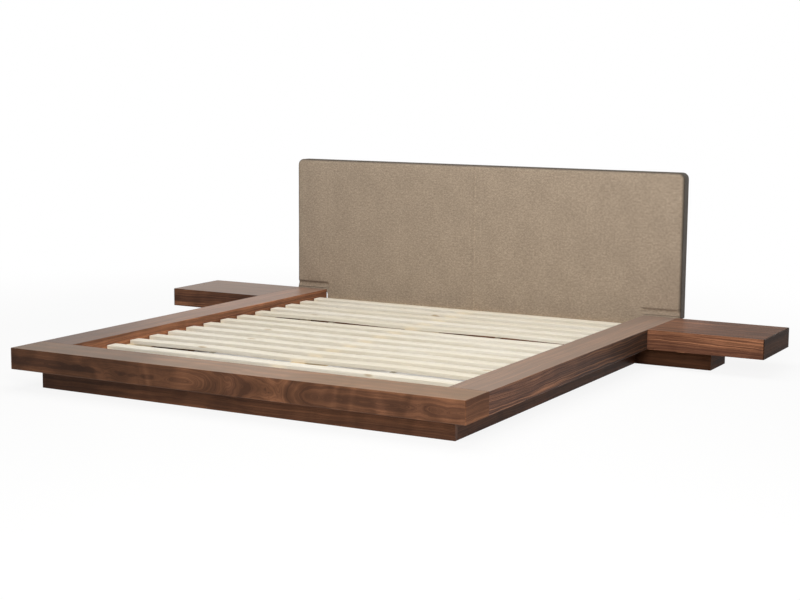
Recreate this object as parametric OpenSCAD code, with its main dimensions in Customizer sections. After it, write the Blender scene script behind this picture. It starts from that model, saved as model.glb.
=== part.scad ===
// Low platform bed: a deck of thick folded cases on a set-back plinth, a ledge nightstand on each
// side, a slatted mattress well and an upholstered headboard bolted on behind the deck.
// Millimetres. +X runs across the bed, +Y from the foot to the head, +Z up. The origin is on the
// floor under the middle of the whole bed.

/* [Mattress well] */
// Clear width between the side rails
well_w = 1854; // [1500:1:2100]
// Clear length from the foot rail to the headboard
well_l = 2140; // [1900:1:2300]
// Drop from the top of the deck to the top of the slats
slat_drop = 34.5; // [25:0.5:45]

/* [Rails] */
// Width of the foot rail, seen from above
foot_rail_d = 198; // [180:1:260]
// Width of each side rail, seen from above
side_rail_w = 177; // [165:1:240]
// Height of the rails and of the nightstand cases
rail_h = 94.5; // [80:0.5:130]
// Board thickness of the folded cases
case_t = 18; // [12:1:22]
// Thickness of the end caps
cap_t = 4; // [3:0.5:8]
// Flat planed off the long edges of the cases
arris = 1.5; // [0.5:0.5:3]
// Thickness of the ribs inside the cases
rib_t = 18; // [10:1:25]
// Ribs in each rail
rib_count = 4; // [2:1:6]

/* [Head rail and cleats] */
// Thickness of the head rail
head_rail_t = 28; // [22:1:40]
// Height of the head rail
head_rail_h = 90; // [80:1:110]
// Width of the cleats that carry the slats
cleat_w = 30; // [20:1:45]
// Height of the cleats
cleat_h = 30; // [20:1:38]
// Gap between a cleat's end and the angle at the head rail
cleat_gap = 5; // [2:1:10]

/* [Plinth] */
// Height of the plinth
plinth_h = 89; // [75:1:140]
// Thickness of the plinth panels
plinth_t = 18; // [12:1:22]
// Set-back of the plinth from the foot of the deck
plinth_inset_foot = 96; // [70:1:105]
// Set-back of the plinth from each side of the deck
plinth_inset_side = 91; // [70:1:98]
// Set-back of the plinth from the head of the deck
plinth_inset_head = 113; // [90:1:150]
// Width of the glue blocks in the plinth's corners
corner_block_w = 45; // [30:1:60]
// Gap left above the glue blocks
corner_block_drop = 10; // [8:1:20]

/* [Nightstands] */
// How far a nightstand stands out from the deck
nightstand_w = 561; // [400:1:650]
// Depth of a nightstand, measured along the bed
nightstand_d = 418; // [380:1:500]
// How far the nightstand's plinth stands out from the deck
nightstand_plinth_w = 286; // [200:1:340]
// Depth of the nightstand's plinth
nightstand_plinth_d = 218; // [190:1:240]

/* [Slats] */
// Slats in the section at the foot
foot_slat_count = 2; // [1:1:4]
// Slats in the middle section
middle_slat_count = 7; // [5:1:8]
// Slats in the section at the head
head_slat_count = 5; // [3:1:6]
// Width of a slat
slat_w = 64; // [50:1:75]
// Thickness of a slat
slat_t = 18; // [14:1:22]
// Gap between a slat's end and the side rail
slat_end_gap = 10; // [3:1:15]
// Gap between the foot rail and the first slat
slat_foot_gap = 80; // [40:1:100]
// Gap between the last slat and the headboard
slat_head_gap = 86; // [84:1:110]
// Extra gap between two sections of slats
section_gap = 22; // [10:1:30]
// Width of the fabric tapes under the slats
tape_w = 25; // [15:1:40]
// Thickness of the tapes
tape_t = 1.5; // [1:0.5:2.5]

/* [Centre beam and legs] */
// Width of the centre beam
beam_w = 70; // [60:1:90]
// Wall of the hangers at the beam's ends
hanger_t = 2; // [1.5:0.5:3]
// How far a hanger reaches along the beam
hanger_l = 45; // [30:1:60]
// Width of a hanger's ears
hanger_ear_w = 24; // [16:1:40]
// Number of centre legs
leg_count = 3; // [2:1:5]
// Radius of a leg's socket tube
socket_r = 12.5; // [10:0.5:18]
// Radius of a socket's flange
socket_flange_r = 28; // [24:0.5:30]
// Thickness of a socket's flange
socket_flange_t = 3; // [2:0.5:5]
// Radius of the levelling foot's stem
stem_r = 5; // [4:0.5:6]
// Running clearance of the stem in its socket, on the radius
stem_clear = 0.06; // [0.02:0.01:0.1]
// Radius of the levelling foot's pad
pad_r = 22; // [18:1:30]
// Thickness of the pad
pad_h = 10; // [6:1:14]
// Height of the nut on top of the pad
nut_h = 6; // [4:1:8]
// How far the levelling foot screws up from the floor
foot_travel = 12; // [5:1:15]
// Play left above the nut and above the stem when the foot is screwed right up
foot_play = 2; // [1:0.5:4]

/* [Headboard] */
// How far the headboard stands out past each side of the deck
headboard_over = 11.5; // [0:0.5:40]
// Height of the headboard's top above the floor
headboard_top = 900; // [700:1:1200]
// Overall thickness of the headboard
headboard_t = 75; // [66:1:110]
// Gap between the deck's top and the headboard's wings
wing_gap = 1; // [0.5:0.5:12]
// Gap between a side rail's inner face and the headboard's lower part
notch_gap = 13; // [8:1:30]
// Height of the headboard's bottom above the floor
headboard_bottom = 40; // [20:1:60]
// Radius of the headboard's top corners
corner_r = 32; // [24:1:60]
// Radius of the headboard's lower corners
low_corner_r = 20; // [18:1:24]
// Radius of the cover's roll round the front edges
roll_r = 15; // [10:1:17]
// Thickness of the woven cover
cover_t = 3; // [2:0.5:4]
// Thickness of the foam
foam_t = 28; // [20:1:34]
// Thickness of the front board
front_board_t = 6; // [4:1:9]
// Thickness of the dust cloth on the back
cloth_t = 1.5; // [1:0.5:2]
// Set-back of the dust cloth from the headboard's outline
cloth_inset = 10; // [6:1:14]
// Clearance between the frame's outline and the cover
frame_clear = 0.6; // [0.4:0.1:1]
// Width of the frame's rails, posts and stiles
frame_w = 70; // [50:1:90]
// How far the frame's bottom rail rises above the head rail
bottom_rail_rise = 25; // [10:1:60]
// Height of the pressed border above the notches
border_h = 38; // [20:1:60]
// Depth of the pressed border
border_d = 5; // [2:0.5:8]
// Width of the centre seam
seam_w = 4; // [2:0.5:6]
// Depth of the centre seam
seam_d = 1.5; // [0.5:0.25:1.75]

/* [Fasteners] */
// Length of a joint plate
plate_l = 120; // [100:1:126]
// Width of a joint plate
plate_w = 36; // [24:1:40]
// Thickness of plates and angles
plate_t = 3; // [2:0.5:5]
// Leg length of the angles at the head rail
angle_leg = 40; // [30:1:44]
// Height of the angles
angle_h = 30; // [24:1:34]
// Radius of the screw shanks
screw_r = 2; // [1.5:0.1:2.5]
// Radius of the screw heads
screw_head_r = 4; // [3.5:0.1:5]
// Height of the screw heads
screw_head_h = 2; // [1:0.5:2.5]
// Clearance round a screw or bolt, on the radius
screw_clear = 0.05; // [0.03:0.01:0.2]
// Radius of the headboard bolts
bolt_r = 4; // [3:0.5:5]
// Radius of the bolt heads
bolt_head_r = 8; // [7:0.5:10]
// Height of the bolt heads
bolt_head_h = 5; // [4:0.5:8]
// How far a bolt reaches into the frame's bottom rail
bolt_bite = 25; // [10:1:28]
// Wood left in front of a screw's tip
screw_cover = 3; // [2:0.5:6]
// Distance of the inner bolts from the bed's middle
bolt_x_inner = 300; // [200:1:400]
// Distance of the outer bolts from the bed's middle
bolt_x_outer = 620; // [500:1:700]

/* [Hidden] */
// Segments of round shapes, and of those inside a hull
$fn = 48;
HULL_FN = 32;

// Heights above the floor
deck_top = plinth_h + rail_h;
slat_top = deck_top - slat_drop;
slat_z = slat_top - slat_t;
beam_z = plinth_h;
beam_h = slat_z - beam_z;
bolt_z = slat_z - head_rail_h / 2;
wing_z = deck_top + wing_gap;

// Places along the bed
deck_w = well_w + 2 * side_rail_w;
deck_l = foot_rail_d + well_l;
foot_y = -(deck_l + headboard_t) / 2;
well_y = foot_y + foot_rail_d;
head_y = foot_y + deck_l;
back_y = head_y + headboard_t;
head_rail_y = head_y - head_rail_t;
plinth_foot_y = foot_y + plinth_inset_foot;
plinth_head_y = head_y - plinth_inset_head;
nightstand_y = head_y - nightstand_d;
nightstand_plinth_y = plinth_head_y - nightstand_plinth_d;
cleat_end_y = head_rail_y - angle_leg - cleat_gap;

// Places across the bed
deck_x = deck_w / 2;
well_x = well_w / 2;
plinth_x = deck_x - plinth_inset_side;
nightstand_plinth_x = deck_x + nightstand_plinth_w;
headboard_x = deck_x + headboard_over;
notch_x = well_x - notch_gap;

// Slats lie in sections, with a wider gap after the last slat of each
slat_count = foot_slat_count + middle_slat_count + head_slat_count;
SECTION_STARTS = [0, foot_slat_count, foot_slat_count + middle_slat_count, slat_count];
section_count = len(SECTION_STARTS) - 1;
slat_run = well_l - slat_foot_gap - slat_head_gap - slat_w - (section_count - 1) * section_gap;
slat_pitch = slat_run / (slat_count - 1);
function gaps_before(i) = (i >= SECTION_STARTS[1] ? 1 : 0) + (i >= SECTION_STARTS[2] ? 1 : 0);
function slat_y(i) = well_y + slat_foot_gap + i * slat_pitch + gaps_before(i) * section_gap;
function slat_name(i) = str("slat_", i < 9 ? "0" : "", i + 1);
function foot_name(i) = str("levelling_foot_", i + 1);

// Legs stand at even steps along the well
function leg_y(i) = well_y + well_l * (i + 1) / (leg_count + 1);

// Joint plates: under the foot joints they lie along the bed, under the nightstands across it
foot_plate_x = (well_x + plinth_x - plinth_t) / 2;
nightstand_plate_room = nightstand_plinth_d - 2 * plinth_t;
function nightstand_plate_y(i) = nightstand_plinth_y + plinth_t + nightstand_plate_room * (2 * i + 1) / 4;
PLATE_HOLES = [for (k = [-0.38, -0.16, 0.16, 0.38]) k * plate_l];
plate_screw_l = plate_t + case_t - screw_cover;
angle_z = (slat_z + plinth_h - angle_h) / 2;
ANGLE_HOLES = [for (k = [0.4, 0.8]) k * angle_leg];
hanger_z = beam_z - hanger_t;
hanger_h = beam_h + hanger_t;
HANGER_HOLES = [for (k = [0.3, 0.75]) hanger_z + k * hanger_h];
hanger_hole_x = beam_w / 2 + hanger_t + hanger_ear_w / 2;
BOLT_X = [-bolt_x_outer, -bolt_x_inner, bolt_x_inner, bolt_x_outer];

// Layers of the headboard, from the front
foam_y = head_y + cover_t;
front_board_y = foam_y + foam_t;
frame_y = front_board_y + front_board_t;
cloth_y = back_y - cloth_t;
frame_inset = cover_t + frame_clear;
bottom_rail_top = slat_z + bottom_rail_rise;

WALNUT = "#70503d";
WALNUT_DARK = "#46301f";
PINE = "#e6dfcc";
TIMBER = "#c9aa7c";
STEEL = "#b4b6b8";
CLOTH = "#9c8c78";
FOAM = "#eadfba";
BLACK = "#2a2a2a";
TAPE = "#d8d2c4";

// Box between two corners
module block(low, high) {
    translate(low) cube(high - low);
}

// Draws its children and their mirror image on the other side of the bed
module both_sides() {
    children();
    mirror([1, 0, 0]) children();
}

// Draws its children on one side: -1 for the left, 1 for the right
module on_side(side) {
    mirror([side < 0 ? 1 : 0, 0, 0]) children();
}

// Rectangle with the corners planed off
module case_outline(w, h) {
    polygon([
        [arris, 0], [w - arris, 0], [w, arris], [w, h - arris],
        [w - arris, h], [arris, h], [0, h - arris], [0, arris]
    ]);
}

// Cross-section of a folded case
module case_section(w) {
    difference() {
        case_outline(w, rail_h);
        translate([case_t, case_t]) square([w - 2 * case_t, rail_h - 2 * case_t]);
    }
}

// Extrudes a section drawn across the bed's length, from x0 to x1, standing on the plinth
module along_x(x0, x1, y) {
    translate([x0, y, plinth_h]) rotate([90, 0, 90]) linear_extrude(x1 - x0) children();
}

// Extrudes a section drawn across the bed's width, from y0 to y1, standing on the plinth
module along_y(x, y0, y1) {
    translate([x, y1, plinth_h]) rotate([90, 0, 0]) linear_extrude(y1 - y0) children();
}

// Extrudes an outline drawn in the headboard's plane, from y0 to y1
module upright(y0, y1) {
    translate([0, y1, 0]) rotate([90, 0, 0]) linear_extrude(y1 - y0) children();
}

// Wood screw pointing up, with the underside of its head at the origin
module screw(length) {
    translate([0, 0, -screw_head_h]) cylinder(h = screw_head_h, r = screw_head_r);
    cylinder(h = length, r = screw_r);
}

// Hole for such a screw
module pilot(length) {
    translate([0, 0, -1]) cylinder(h = length + 1 + screw_clear, r = screw_r + screw_clear);
}

// Places of the screws through one joint plate that lies along Y, or along X when turned
module at_plate_holes(turned = false) {
    for (k = PLATE_HOLES) {
        translate([turned ? k : 0, turned ? 0 : k, plinth_h - plate_t]) children();
    }
}

module at_foot_plates() {
    both_sides() translate([foot_plate_x, well_y, 0]) children();
}

module at_nightstand_plates() {
    both_sides() {
        for (i = [0, 1]) {
            translate([deck_x, nightstand_plate_y(i), 0]) children();
        }
    }
}

// Screws through the angles: one pair into the side rail, one pair into the head rail
module at_angle_holes() {
    both_sides() {
        for (k = ANGLE_HOLES) {
            translate([well_x - plate_t, head_rail_y - k, angle_z + angle_h / 2]) rotate([0, 90, 0])
                children();
        }
        for (k = ANGLE_HOLES) {
            translate([well_x - k, head_rail_y - plate_t, angle_z + angle_h / 2]) rotate([-90, 0, 0])
                children();
        }
    }
}

// Screws through the ears of the hangers into the foot rail and the head rail
module at_hanger_holes(foot = true, head = true) {
    both_sides() {
        for (z = HANGER_HOLES) {
            if (foot) {
                translate([hanger_hole_x, well_y + hanger_t, z]) rotate([90, 0, 0]) children();
            }
            if (head) {
                translate([hanger_hole_x, head_rail_y - hanger_t, z]) rotate([-90, 0, 0]) children();
            }
        }
    }
}

module at_bolts() {
    for (x = BOLT_X) {
        translate([x, head_rail_y, bolt_z]) rotate([-90, 0, 0]) children();
    }
}

bolt_l = head_rail_t + cover_t + foam_t + front_board_t + bolt_bite;

module bolt_holes() {
    at_bolts() translate([0, 0, -1]) cylinder(h = bolt_l + 1 + screw_clear, r = bolt_r + screw_clear);
}

// All pilot holes of the steel screws, cut out of the wood that they enter
module pilot_holes() {
    at_foot_plates() at_plate_holes() pilot(plate_screw_l);
    at_nightstand_plates() at_plate_holes(true) pilot(plate_screw_l);
    at_angle_holes() pilot(plate_screw_l);
    at_hanger_holes() pilot(plate_screw_l);
}

// Deck

module foot_rail() {
    color(WALNUT) difference() {
        along_x(-deck_x + cap_t, deck_x - cap_t, foot_y) case_section(foot_rail_d);
        at_foot_plates() at_plate_holes() pilot(plate_screw_l);
        at_hanger_holes(head = false) pilot(plate_screw_l);
    }
}

module foot_rail_caps() {
    color(WALNUT) both_sides()
        along_x(deck_x - cap_t, deck_x, foot_y) case_outline(foot_rail_d, rail_h);
}

module side_rail(side) {
    color(WALNUT) difference() {
        on_side(side) along_y(well_x, well_y, head_y - cap_t) case_section(side_rail_w);
        at_foot_plates() at_plate_holes() pilot(plate_screw_l);
        at_nightstand_plates() at_plate_holes(true) pilot(plate_screw_l);
        at_angle_holes() pilot(plate_screw_l);
    }
}

module side_rail_caps() {
    color(WALNUT) both_sides()
        along_y(well_x, head_y - cap_t, head_y) case_outline(side_rail_w, rail_h);
}

module rail_ribs() {
    rib_z = plinth_h + case_t;
    rib_top = deck_top - case_t;
    inner_l = well_l - cap_t - rib_t;
    foot_l = deck_w - 2 * cap_t - rib_t;
    color(TIMBER) {
        for (i = [0 : rib_count - 1]) {
            x = -deck_x + cap_t + foot_l * (i + 0.5) / rib_count;
            y = well_y + inner_l * (i + 0.5) / rib_count;
            block([x, foot_y + case_t, rib_z], [x + rib_t, well_y - case_t, rib_top]);
            both_sides()
                block([well_x + case_t, y, rib_z], [deck_x - case_t, y + rib_t, rib_top]);
        }
        both_sides()
            block([deck_x + nightstand_w / 2, nightstand_y + case_t, rib_z],
                  [deck_x + nightstand_w / 2 + rib_t, head_y - case_t, rib_top]);
    }
}

module head_rail() {
    color(TIMBER) difference() {
        block([-well_x, head_rail_y, slat_z - head_rail_h], [well_x, head_y, slat_z]);
        at_angle_holes() pilot(plate_screw_l);
        at_hanger_holes(foot = false) pilot(plate_screw_l);
        bolt_holes();
    }
}

module side_cleat(side) {
    color(TIMBER) on_side(side)
        block([well_x - cleat_w, well_y, slat_z - cleat_h], [well_x, cleat_end_y, slat_z]);
}

// Joint hardware

module joint_plate(turned = false) {
    size = turned ? [plate_l, plate_w, plate_t] : [plate_w, plate_l, plate_t];
    difference() {
        translate([-size[0] / 2, -size[1] / 2, plinth_h - plate_t]) cube(size);
        at_plate_holes(turned) pilot(plate_t + 1);
    }
}

module joint_plates() {
    color(STEEL) at_foot_plates() joint_plate();
}

module nightstand_plates() {
    color(STEEL) at_nightstand_plates() joint_plate(true);
}

module head_rail_angles() {
    color(STEEL) difference() {
        both_sides() {
            block([well_x - plate_t, head_rail_y - angle_leg, angle_z],
                  [well_x, head_rail_y, angle_z + angle_h]);
            block([well_x - angle_leg, head_rail_y - plate_t, angle_z],
                  [well_x, head_rail_y, angle_z + angle_h]);
        }
        at_angle_holes() pilot(plate_t + 1);
    }
}

module steel_screws() {
    color(STEEL) {
        at_foot_plates() at_plate_holes() screw(plate_screw_l);
        at_nightstand_plates() at_plate_holes(true) screw(plate_screw_l);
        at_angle_holes() screw(plate_screw_l);
        at_hanger_holes() screw(plate_screw_l);
    }
}

// Centre beam and legs

module centre_beam() {
    color(TIMBER) block([-beam_w / 2, well_y, beam_z], [beam_w / 2, head_rail_y, slat_z]);
}

// Cradle round one end of the beam, with an ear on each side
module beam_hanger() {
    cradle_x = beam_w / 2 + hanger_t;
    ear_x = cradle_x + hanger_ear_w;
    difference() {
        union() {
            block([-cradle_x, 0, hanger_z], [cradle_x, hanger_l, slat_z]);
            block([-ear_x, 0, hanger_z], [ear_x, hanger_t, slat_z]);
        }
        block([-beam_w / 2, -1, beam_z], [beam_w / 2, hanger_l + 1, slat_z + 1]);
    }
}

module beam_hangers() {
    color(STEEL) difference() {
        union() {
            translate([0, well_y, 0]) beam_hanger();
            translate([0, head_rail_y, 0]) mirror([0, 1, 0]) beam_hanger();
        }
        at_hanger_holes() pilot(plate_screw_l);
    }
}

module leg_sockets() {
    flange_z = beam_z - socket_flange_t;
    tube_z = pad_h + nut_h + foot_travel + foot_play;
    color(STEEL) for (i = [0 : leg_count - 1]) {
        translate([0, leg_y(i), 0]) difference() {
            union() {
                translate([0, 0, flange_z]) cylinder(h = socket_flange_t, r = socket_flange_r);
                translate([0, 0, tube_z]) cylinder(h = flange_z - tube_z, r = socket_r);
            }
            translate([0, 0, tube_z - 1]) cylinder(h = beam_z - tube_z + 2, r = stem_r + stem_clear);
        }
    }
}

// Moulded pad with a nut and a stem that runs in the socket
module levelling_foot(i) {
    stem_top = beam_z - foot_travel - foot_play;
    color(STEEL) translate([0, leg_y(i), 0]) {
        cylinder(h = pad_h, r = pad_r);
        cylinder(h = pad_h + nut_h, r = socket_r, $fn = 6);
        cylinder(h = stem_top, r = stem_r);
    }
}

// Plinth

module plinth_foot_panel() {
    color(WALNUT_DARK)
        block([-plinth_x, plinth_foot_y, 0], [plinth_x, plinth_foot_y + plinth_t, plinth_h]);
}

module plinth_side_panel(side) {
    color(WALNUT_DARK) on_side(side)
        block([plinth_x - plinth_t, plinth_foot_y + plinth_t, 0], [plinth_x, plinth_head_y, plinth_h]);
}

module plinth_head_panel() {
    x = plinth_x - plinth_t;
    color(WALNUT_DARK) block([-x, plinth_head_y - plinth_t, 0], [x, plinth_head_y, plinth_h]);
}

module plinth_corner_blocks() {
    x = plinth_x - plinth_t;
    top = plinth_h - corner_block_drop;
    y_foot = plinth_foot_y + plinth_t;
    y_head = plinth_head_y - plinth_t;
    color(TIMBER) both_sides() {
        block([x - corner_block_w, y_foot, 0], [x, y_foot + corner_block_w, top]);
        block([x - corner_block_w, y_head - corner_block_w, 0], [x, y_head, top]);
    }
}

// Nightstands

module nightstand(side) {
    color(WALNUT) difference() {
        on_side(side) along_x(deck_x, deck_x + nightstand_w - cap_t, nightstand_y)
            case_section(nightstand_d);
        at_nightstand_plates() at_plate_holes(true) pilot(plate_screw_l);
    }
}

module nightstand_caps() {
    x = deck_x + nightstand_w;
    color(WALNUT) both_sides()
        along_x(x - cap_t, x, nightstand_y) case_outline(nightstand_d, rail_h);
}

module nightstand_plinth_front(side) {
    color(WALNUT_DARK) on_side(side)
        block([plinth_x, nightstand_plinth_y, 0],
              [nightstand_plinth_x, nightstand_plinth_y + plinth_t, plinth_h]);
}

module nightstand_plinth_end(side) {
    color(WALNUT_DARK) on_side(side)
        block([nightstand_plinth_x - plinth_t, nightstand_plinth_y + plinth_t, 0],
              [nightstand_plinth_x, plinth_head_y - plinth_t, plinth_h]);
}

module nightstand_plinth_back(side) {
    color(WALNUT_DARK) on_side(side)
        block([plinth_x, plinth_head_y - plinth_t, 0],
              [nightstand_plinth_x, plinth_head_y, plinth_h]);
}

// Headboard

// Rectangle with its own radius at the bottom and at the top corners
module round_box(x, z0, z1, r_bottom, r_top) {
    translate([-x, z0 + r_bottom]) square([2 * x, z1 - z0 - r_bottom - r_top]);
    translate([-x + r_bottom, z0]) square([2 * (x - r_bottom), r_bottom]);
    translate([-x + r_top, z1 - r_top]) square([2 * (x - r_top), r_top]);
    for (s = [-1, 1]) {
        translate([s * (x - r_bottom), z0 + r_bottom]) circle(r_bottom);
        translate([s * (x - r_top), z1 - r_top]) circle(r_top);
    }
}

// Outline of the headboard, drawn in by inset: wings above the rails, a lower part between them
module headboard_outline(inset) {
    round_box(headboard_x - inset, wing_z + inset, headboard_top - inset,
              low_corner_r - inset, corner_r - inset);
    round_box(notch_x - inset, headboard_bottom + inset, wing_z + 2 * low_corner_r,
              low_corner_r - inset, 1);
}

// Round plate whose front rim is rolled over, the corner of a padded block
module pad_corner(r, roll, depth) {
    rotate([90, 0, 0]) rotate_extrude($fn = HULL_FN)
        polygon(concat(
            [[0, 0], [r, 0]],
            [for (a = [0 : 18 : 90]) [r - roll + roll * cos(a), depth - roll + roll * sin(a)]],
            [[0, depth]]
        ));
}

// Padded block with rolled front edges, from the plane y0 back to y1
module pad_block(x, z0, z1, r_bottom, r_top, roll, y0, y1) {
    hull() {
        for (s = [-1, 1]) {
            translate([s * (x - r_bottom), y1, z0 + r_bottom]) pad_corner(r_bottom, roll, y1 - y0);
            translate([s * (x - r_top), y1, z1 - r_top]) pad_corner(r_top, roll, y1 - y0);
        }
    }
}

// Whole padded shape back to y1, drawn in by inset at the front and round the outline
module pad_shape(inset, y1) {
    roll = roll_r - inset;
    y0 = head_y + inset;
    difference() {
        union() {
            pad_block(headboard_x - inset, wing_z + inset, headboard_top - inset,
                      low_corner_r - inset, corner_r - inset, roll, y0, y1);
            pad_block(notch_x - inset, headboard_bottom + inset, wing_z + 4 * low_corner_r,
                      low_corner_r - inset, low_corner_r, roll, y0, y1);
        }
        both_sides()
            block([notch_x - inset, head_y - 1, wing_z - 1],
                  [headboard_x + 1, y0 + border_d, wing_z + border_h + inset]);
    }
}

module headboard_cover() {
    color(CLOTH) difference() {
        pad_shape(0, cloth_y);
        pad_shape(cover_t, cloth_y + 1);
        translate([0, head_y, 0]) linear_extrude(headboard_top + 1)
            polygon([[-seam_w / 2, -1], [-seam_w / 2, 0], [0, seam_d], [seam_w / 2, 0], [seam_w / 2, -1]]);
        bolt_holes();
    }
}

module headboard_foam() {
    color(FOAM) difference() {
        intersection() {
            pad_shape(cover_t, cloth_y);
            block([-headboard_x, foam_y, 0], [headboard_x, front_board_y, headboard_top]);
        }
        bolt_holes();
    }
}

module headboard_front_board() {
    color(TIMBER) difference() {
        upright(front_board_y, frame_y) headboard_outline(frame_inset);
        bolt_holes();
    }
}

// Keeps of a frame member what lies inside the headboard's outline
module inside_frame() {
    intersection() {
        upright(frame_y, cloth_y) headboard_outline(frame_inset);
        children();
    }
}

module frame_bar(x0, x1, z0, z1) {
    inside_frame() block([x0, frame_y, z0], [x1, cloth_y, z1]);
}

top_rail_z = headboard_top - cover_t - frame_w;
wing_rail_z = wing_z + cover_t + frame_w;

module headboard_top_rail() {
    color(TIMBER) frame_bar(-headboard_x, headboard_x, top_rail_z, headboard_top);
}

module headboard_bottom_rail() {
    color(TIMBER) difference() {
        frame_bar(-notch_x, notch_x, headboard_bottom, bottom_rail_top);
        bolt_holes();
    }
}

module headboard_posts() {
    color(TIMBER) {
        frame_bar(-frame_w / 2, frame_w / 2, bottom_rail_top, top_rail_z);
        both_sides() frame_bar(notch_x - frame_w, notch_x - frame_inset, bottom_rail_top, top_rail_z);
    }
}

module headboard_wing_stiles() {
    color(TIMBER) both_sides()
        frame_bar(headboard_x - frame_w, headboard_x, wing_rail_z, top_rail_z);
}

module headboard_wing_rails() {
    color(TIMBER) both_sides()
        frame_bar(notch_x - frame_inset, headboard_x, wing_z, wing_rail_z);
}

module headboard_dust_cloth() {
    color(BLACK) upright(cloth_y, back_y) headboard_outline(cloth_inset);
}

module headboard_bolts() {
    color(STEEL) at_bolts() {
        translate([0, 0, -bolt_head_h]) cylinder(h = bolt_head_h, r = bolt_head_r, $fn = 6);
        cylinder(h = bolt_l, r = bolt_r);
    }
}

// Slats

module slat(i) {
    x = well_x - slat_end_gap;
    color(PINE) block([-x, slat_y(i), slat_z], [x, slat_y(i) + slat_w, slat_top]);
}

module slat_tapes() {
    color(TAPE) both_sides() {
        for (s = [0 : section_count - 1]) {
            block([well_w / 4 - tape_w / 2, slat_y(SECTION_STARTS[s]), slat_z - tape_t],
                  [well_w / 4 + tape_w / 2, slat_y(SECTION_STARTS[s + 1] - 1) + slat_w, slat_z]);
        }
    }
}

foot_rail();
foot_rail_caps();
side_rail(-1);  // side_rail_left
side_rail(1);  // side_rail_right
side_rail_caps();
rail_ribs();
head_rail();
side_cleat(-1);  // side_cleat_left
side_cleat(1);  // side_cleat_right
joint_plates();
head_rail_angles();
nightstand_plates();
steel_screws();
centre_beam();
beam_hangers();
leg_sockets();
for (i = [0 : leg_count - 1]) {
    levelling_foot(i);
}
plinth_foot_panel();
plinth_side_panel(-1);  // plinth_left_panel
plinth_side_panel(1);  // plinth_right_panel
plinth_head_panel();
plinth_corner_blocks();
nightstand(-1);  // nightstand_left
nightstand(1);  // nightstand_right
nightstand_caps();
nightstand_plinth_front(-1);  // nightstand_plinth_left_front
nightstand_plinth_end(-1);  // nightstand_plinth_left_end
nightstand_plinth_back(-1);  // nightstand_plinth_left_back
nightstand_plinth_front(1);  // nightstand_plinth_right_front
nightstand_plinth_end(1);  // nightstand_plinth_right_end
nightstand_plinth_back(1);  // nightstand_plinth_right_back
headboard_top_rail();
headboard_bottom_rail();
headboard_posts();
headboard_wing_stiles();
headboard_wing_rails();
headboard_front_board();
headboard_foam();
headboard_cover();
headboard_dust_cloth();
headboard_bolts();
slat_tapes();
for (i = [0 : slat_count - 1]) {
    slat(i);
}
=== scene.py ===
"""Finished looks of a low platform bed with a ledge nightstand on each side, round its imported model."""

import math

import bmesh
import bpy
import numpy as np
from bpy.props import FloatProperty, FloatVectorProperty, PointerProperty
from bpy.types import Operator, Panel, PropertyGroup
from mathutils import Matrix, Vector, noise
from mathutils.geometry import delaunay_2d_cdt


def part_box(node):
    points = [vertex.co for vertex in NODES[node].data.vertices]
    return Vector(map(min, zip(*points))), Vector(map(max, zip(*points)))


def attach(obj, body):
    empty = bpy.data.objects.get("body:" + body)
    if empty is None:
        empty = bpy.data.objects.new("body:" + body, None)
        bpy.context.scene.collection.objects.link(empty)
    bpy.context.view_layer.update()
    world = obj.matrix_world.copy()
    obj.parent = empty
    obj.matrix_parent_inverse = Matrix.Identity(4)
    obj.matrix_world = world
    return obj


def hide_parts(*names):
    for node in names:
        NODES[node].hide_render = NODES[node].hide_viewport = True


bl_info = {
    "name": "Platform Bed Finish",
    "version": (1, 0, 0),
    "blender": (4, 5, 0),
    "location": "View3D > Sidebar > Bed",
    "description": "Veneers, slats, upholstery, hardware and studio stage of a platform bed",
    "category": "Object",
}

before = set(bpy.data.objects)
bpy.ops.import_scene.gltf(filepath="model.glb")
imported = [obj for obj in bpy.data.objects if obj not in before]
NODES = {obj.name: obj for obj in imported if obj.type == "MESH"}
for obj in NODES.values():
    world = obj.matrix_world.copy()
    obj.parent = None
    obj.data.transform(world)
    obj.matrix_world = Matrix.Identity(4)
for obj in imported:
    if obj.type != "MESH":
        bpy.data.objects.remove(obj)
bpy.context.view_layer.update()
FRAME_BODY = "bed_frame"

# Directions: across the bed, from its foot to its head, and up
ACROSS = (1, 0, 0)
LENGTHWISE = (0, 1, 0)
UP = (0, 0, 1)
# One leaf of veneer runs from a case's top down its side, so across the grain is the sum of two directions
OVER_FRONT = (0, 1, 1)
OVER_LEFT = (1, 0, 1)
OVER_RIGHT = (-1, 0, 1)

QUARTER = math.pi / 2

# Points that lie closer than this, in metres, are one point of a solid
WELD = 0.00001

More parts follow.
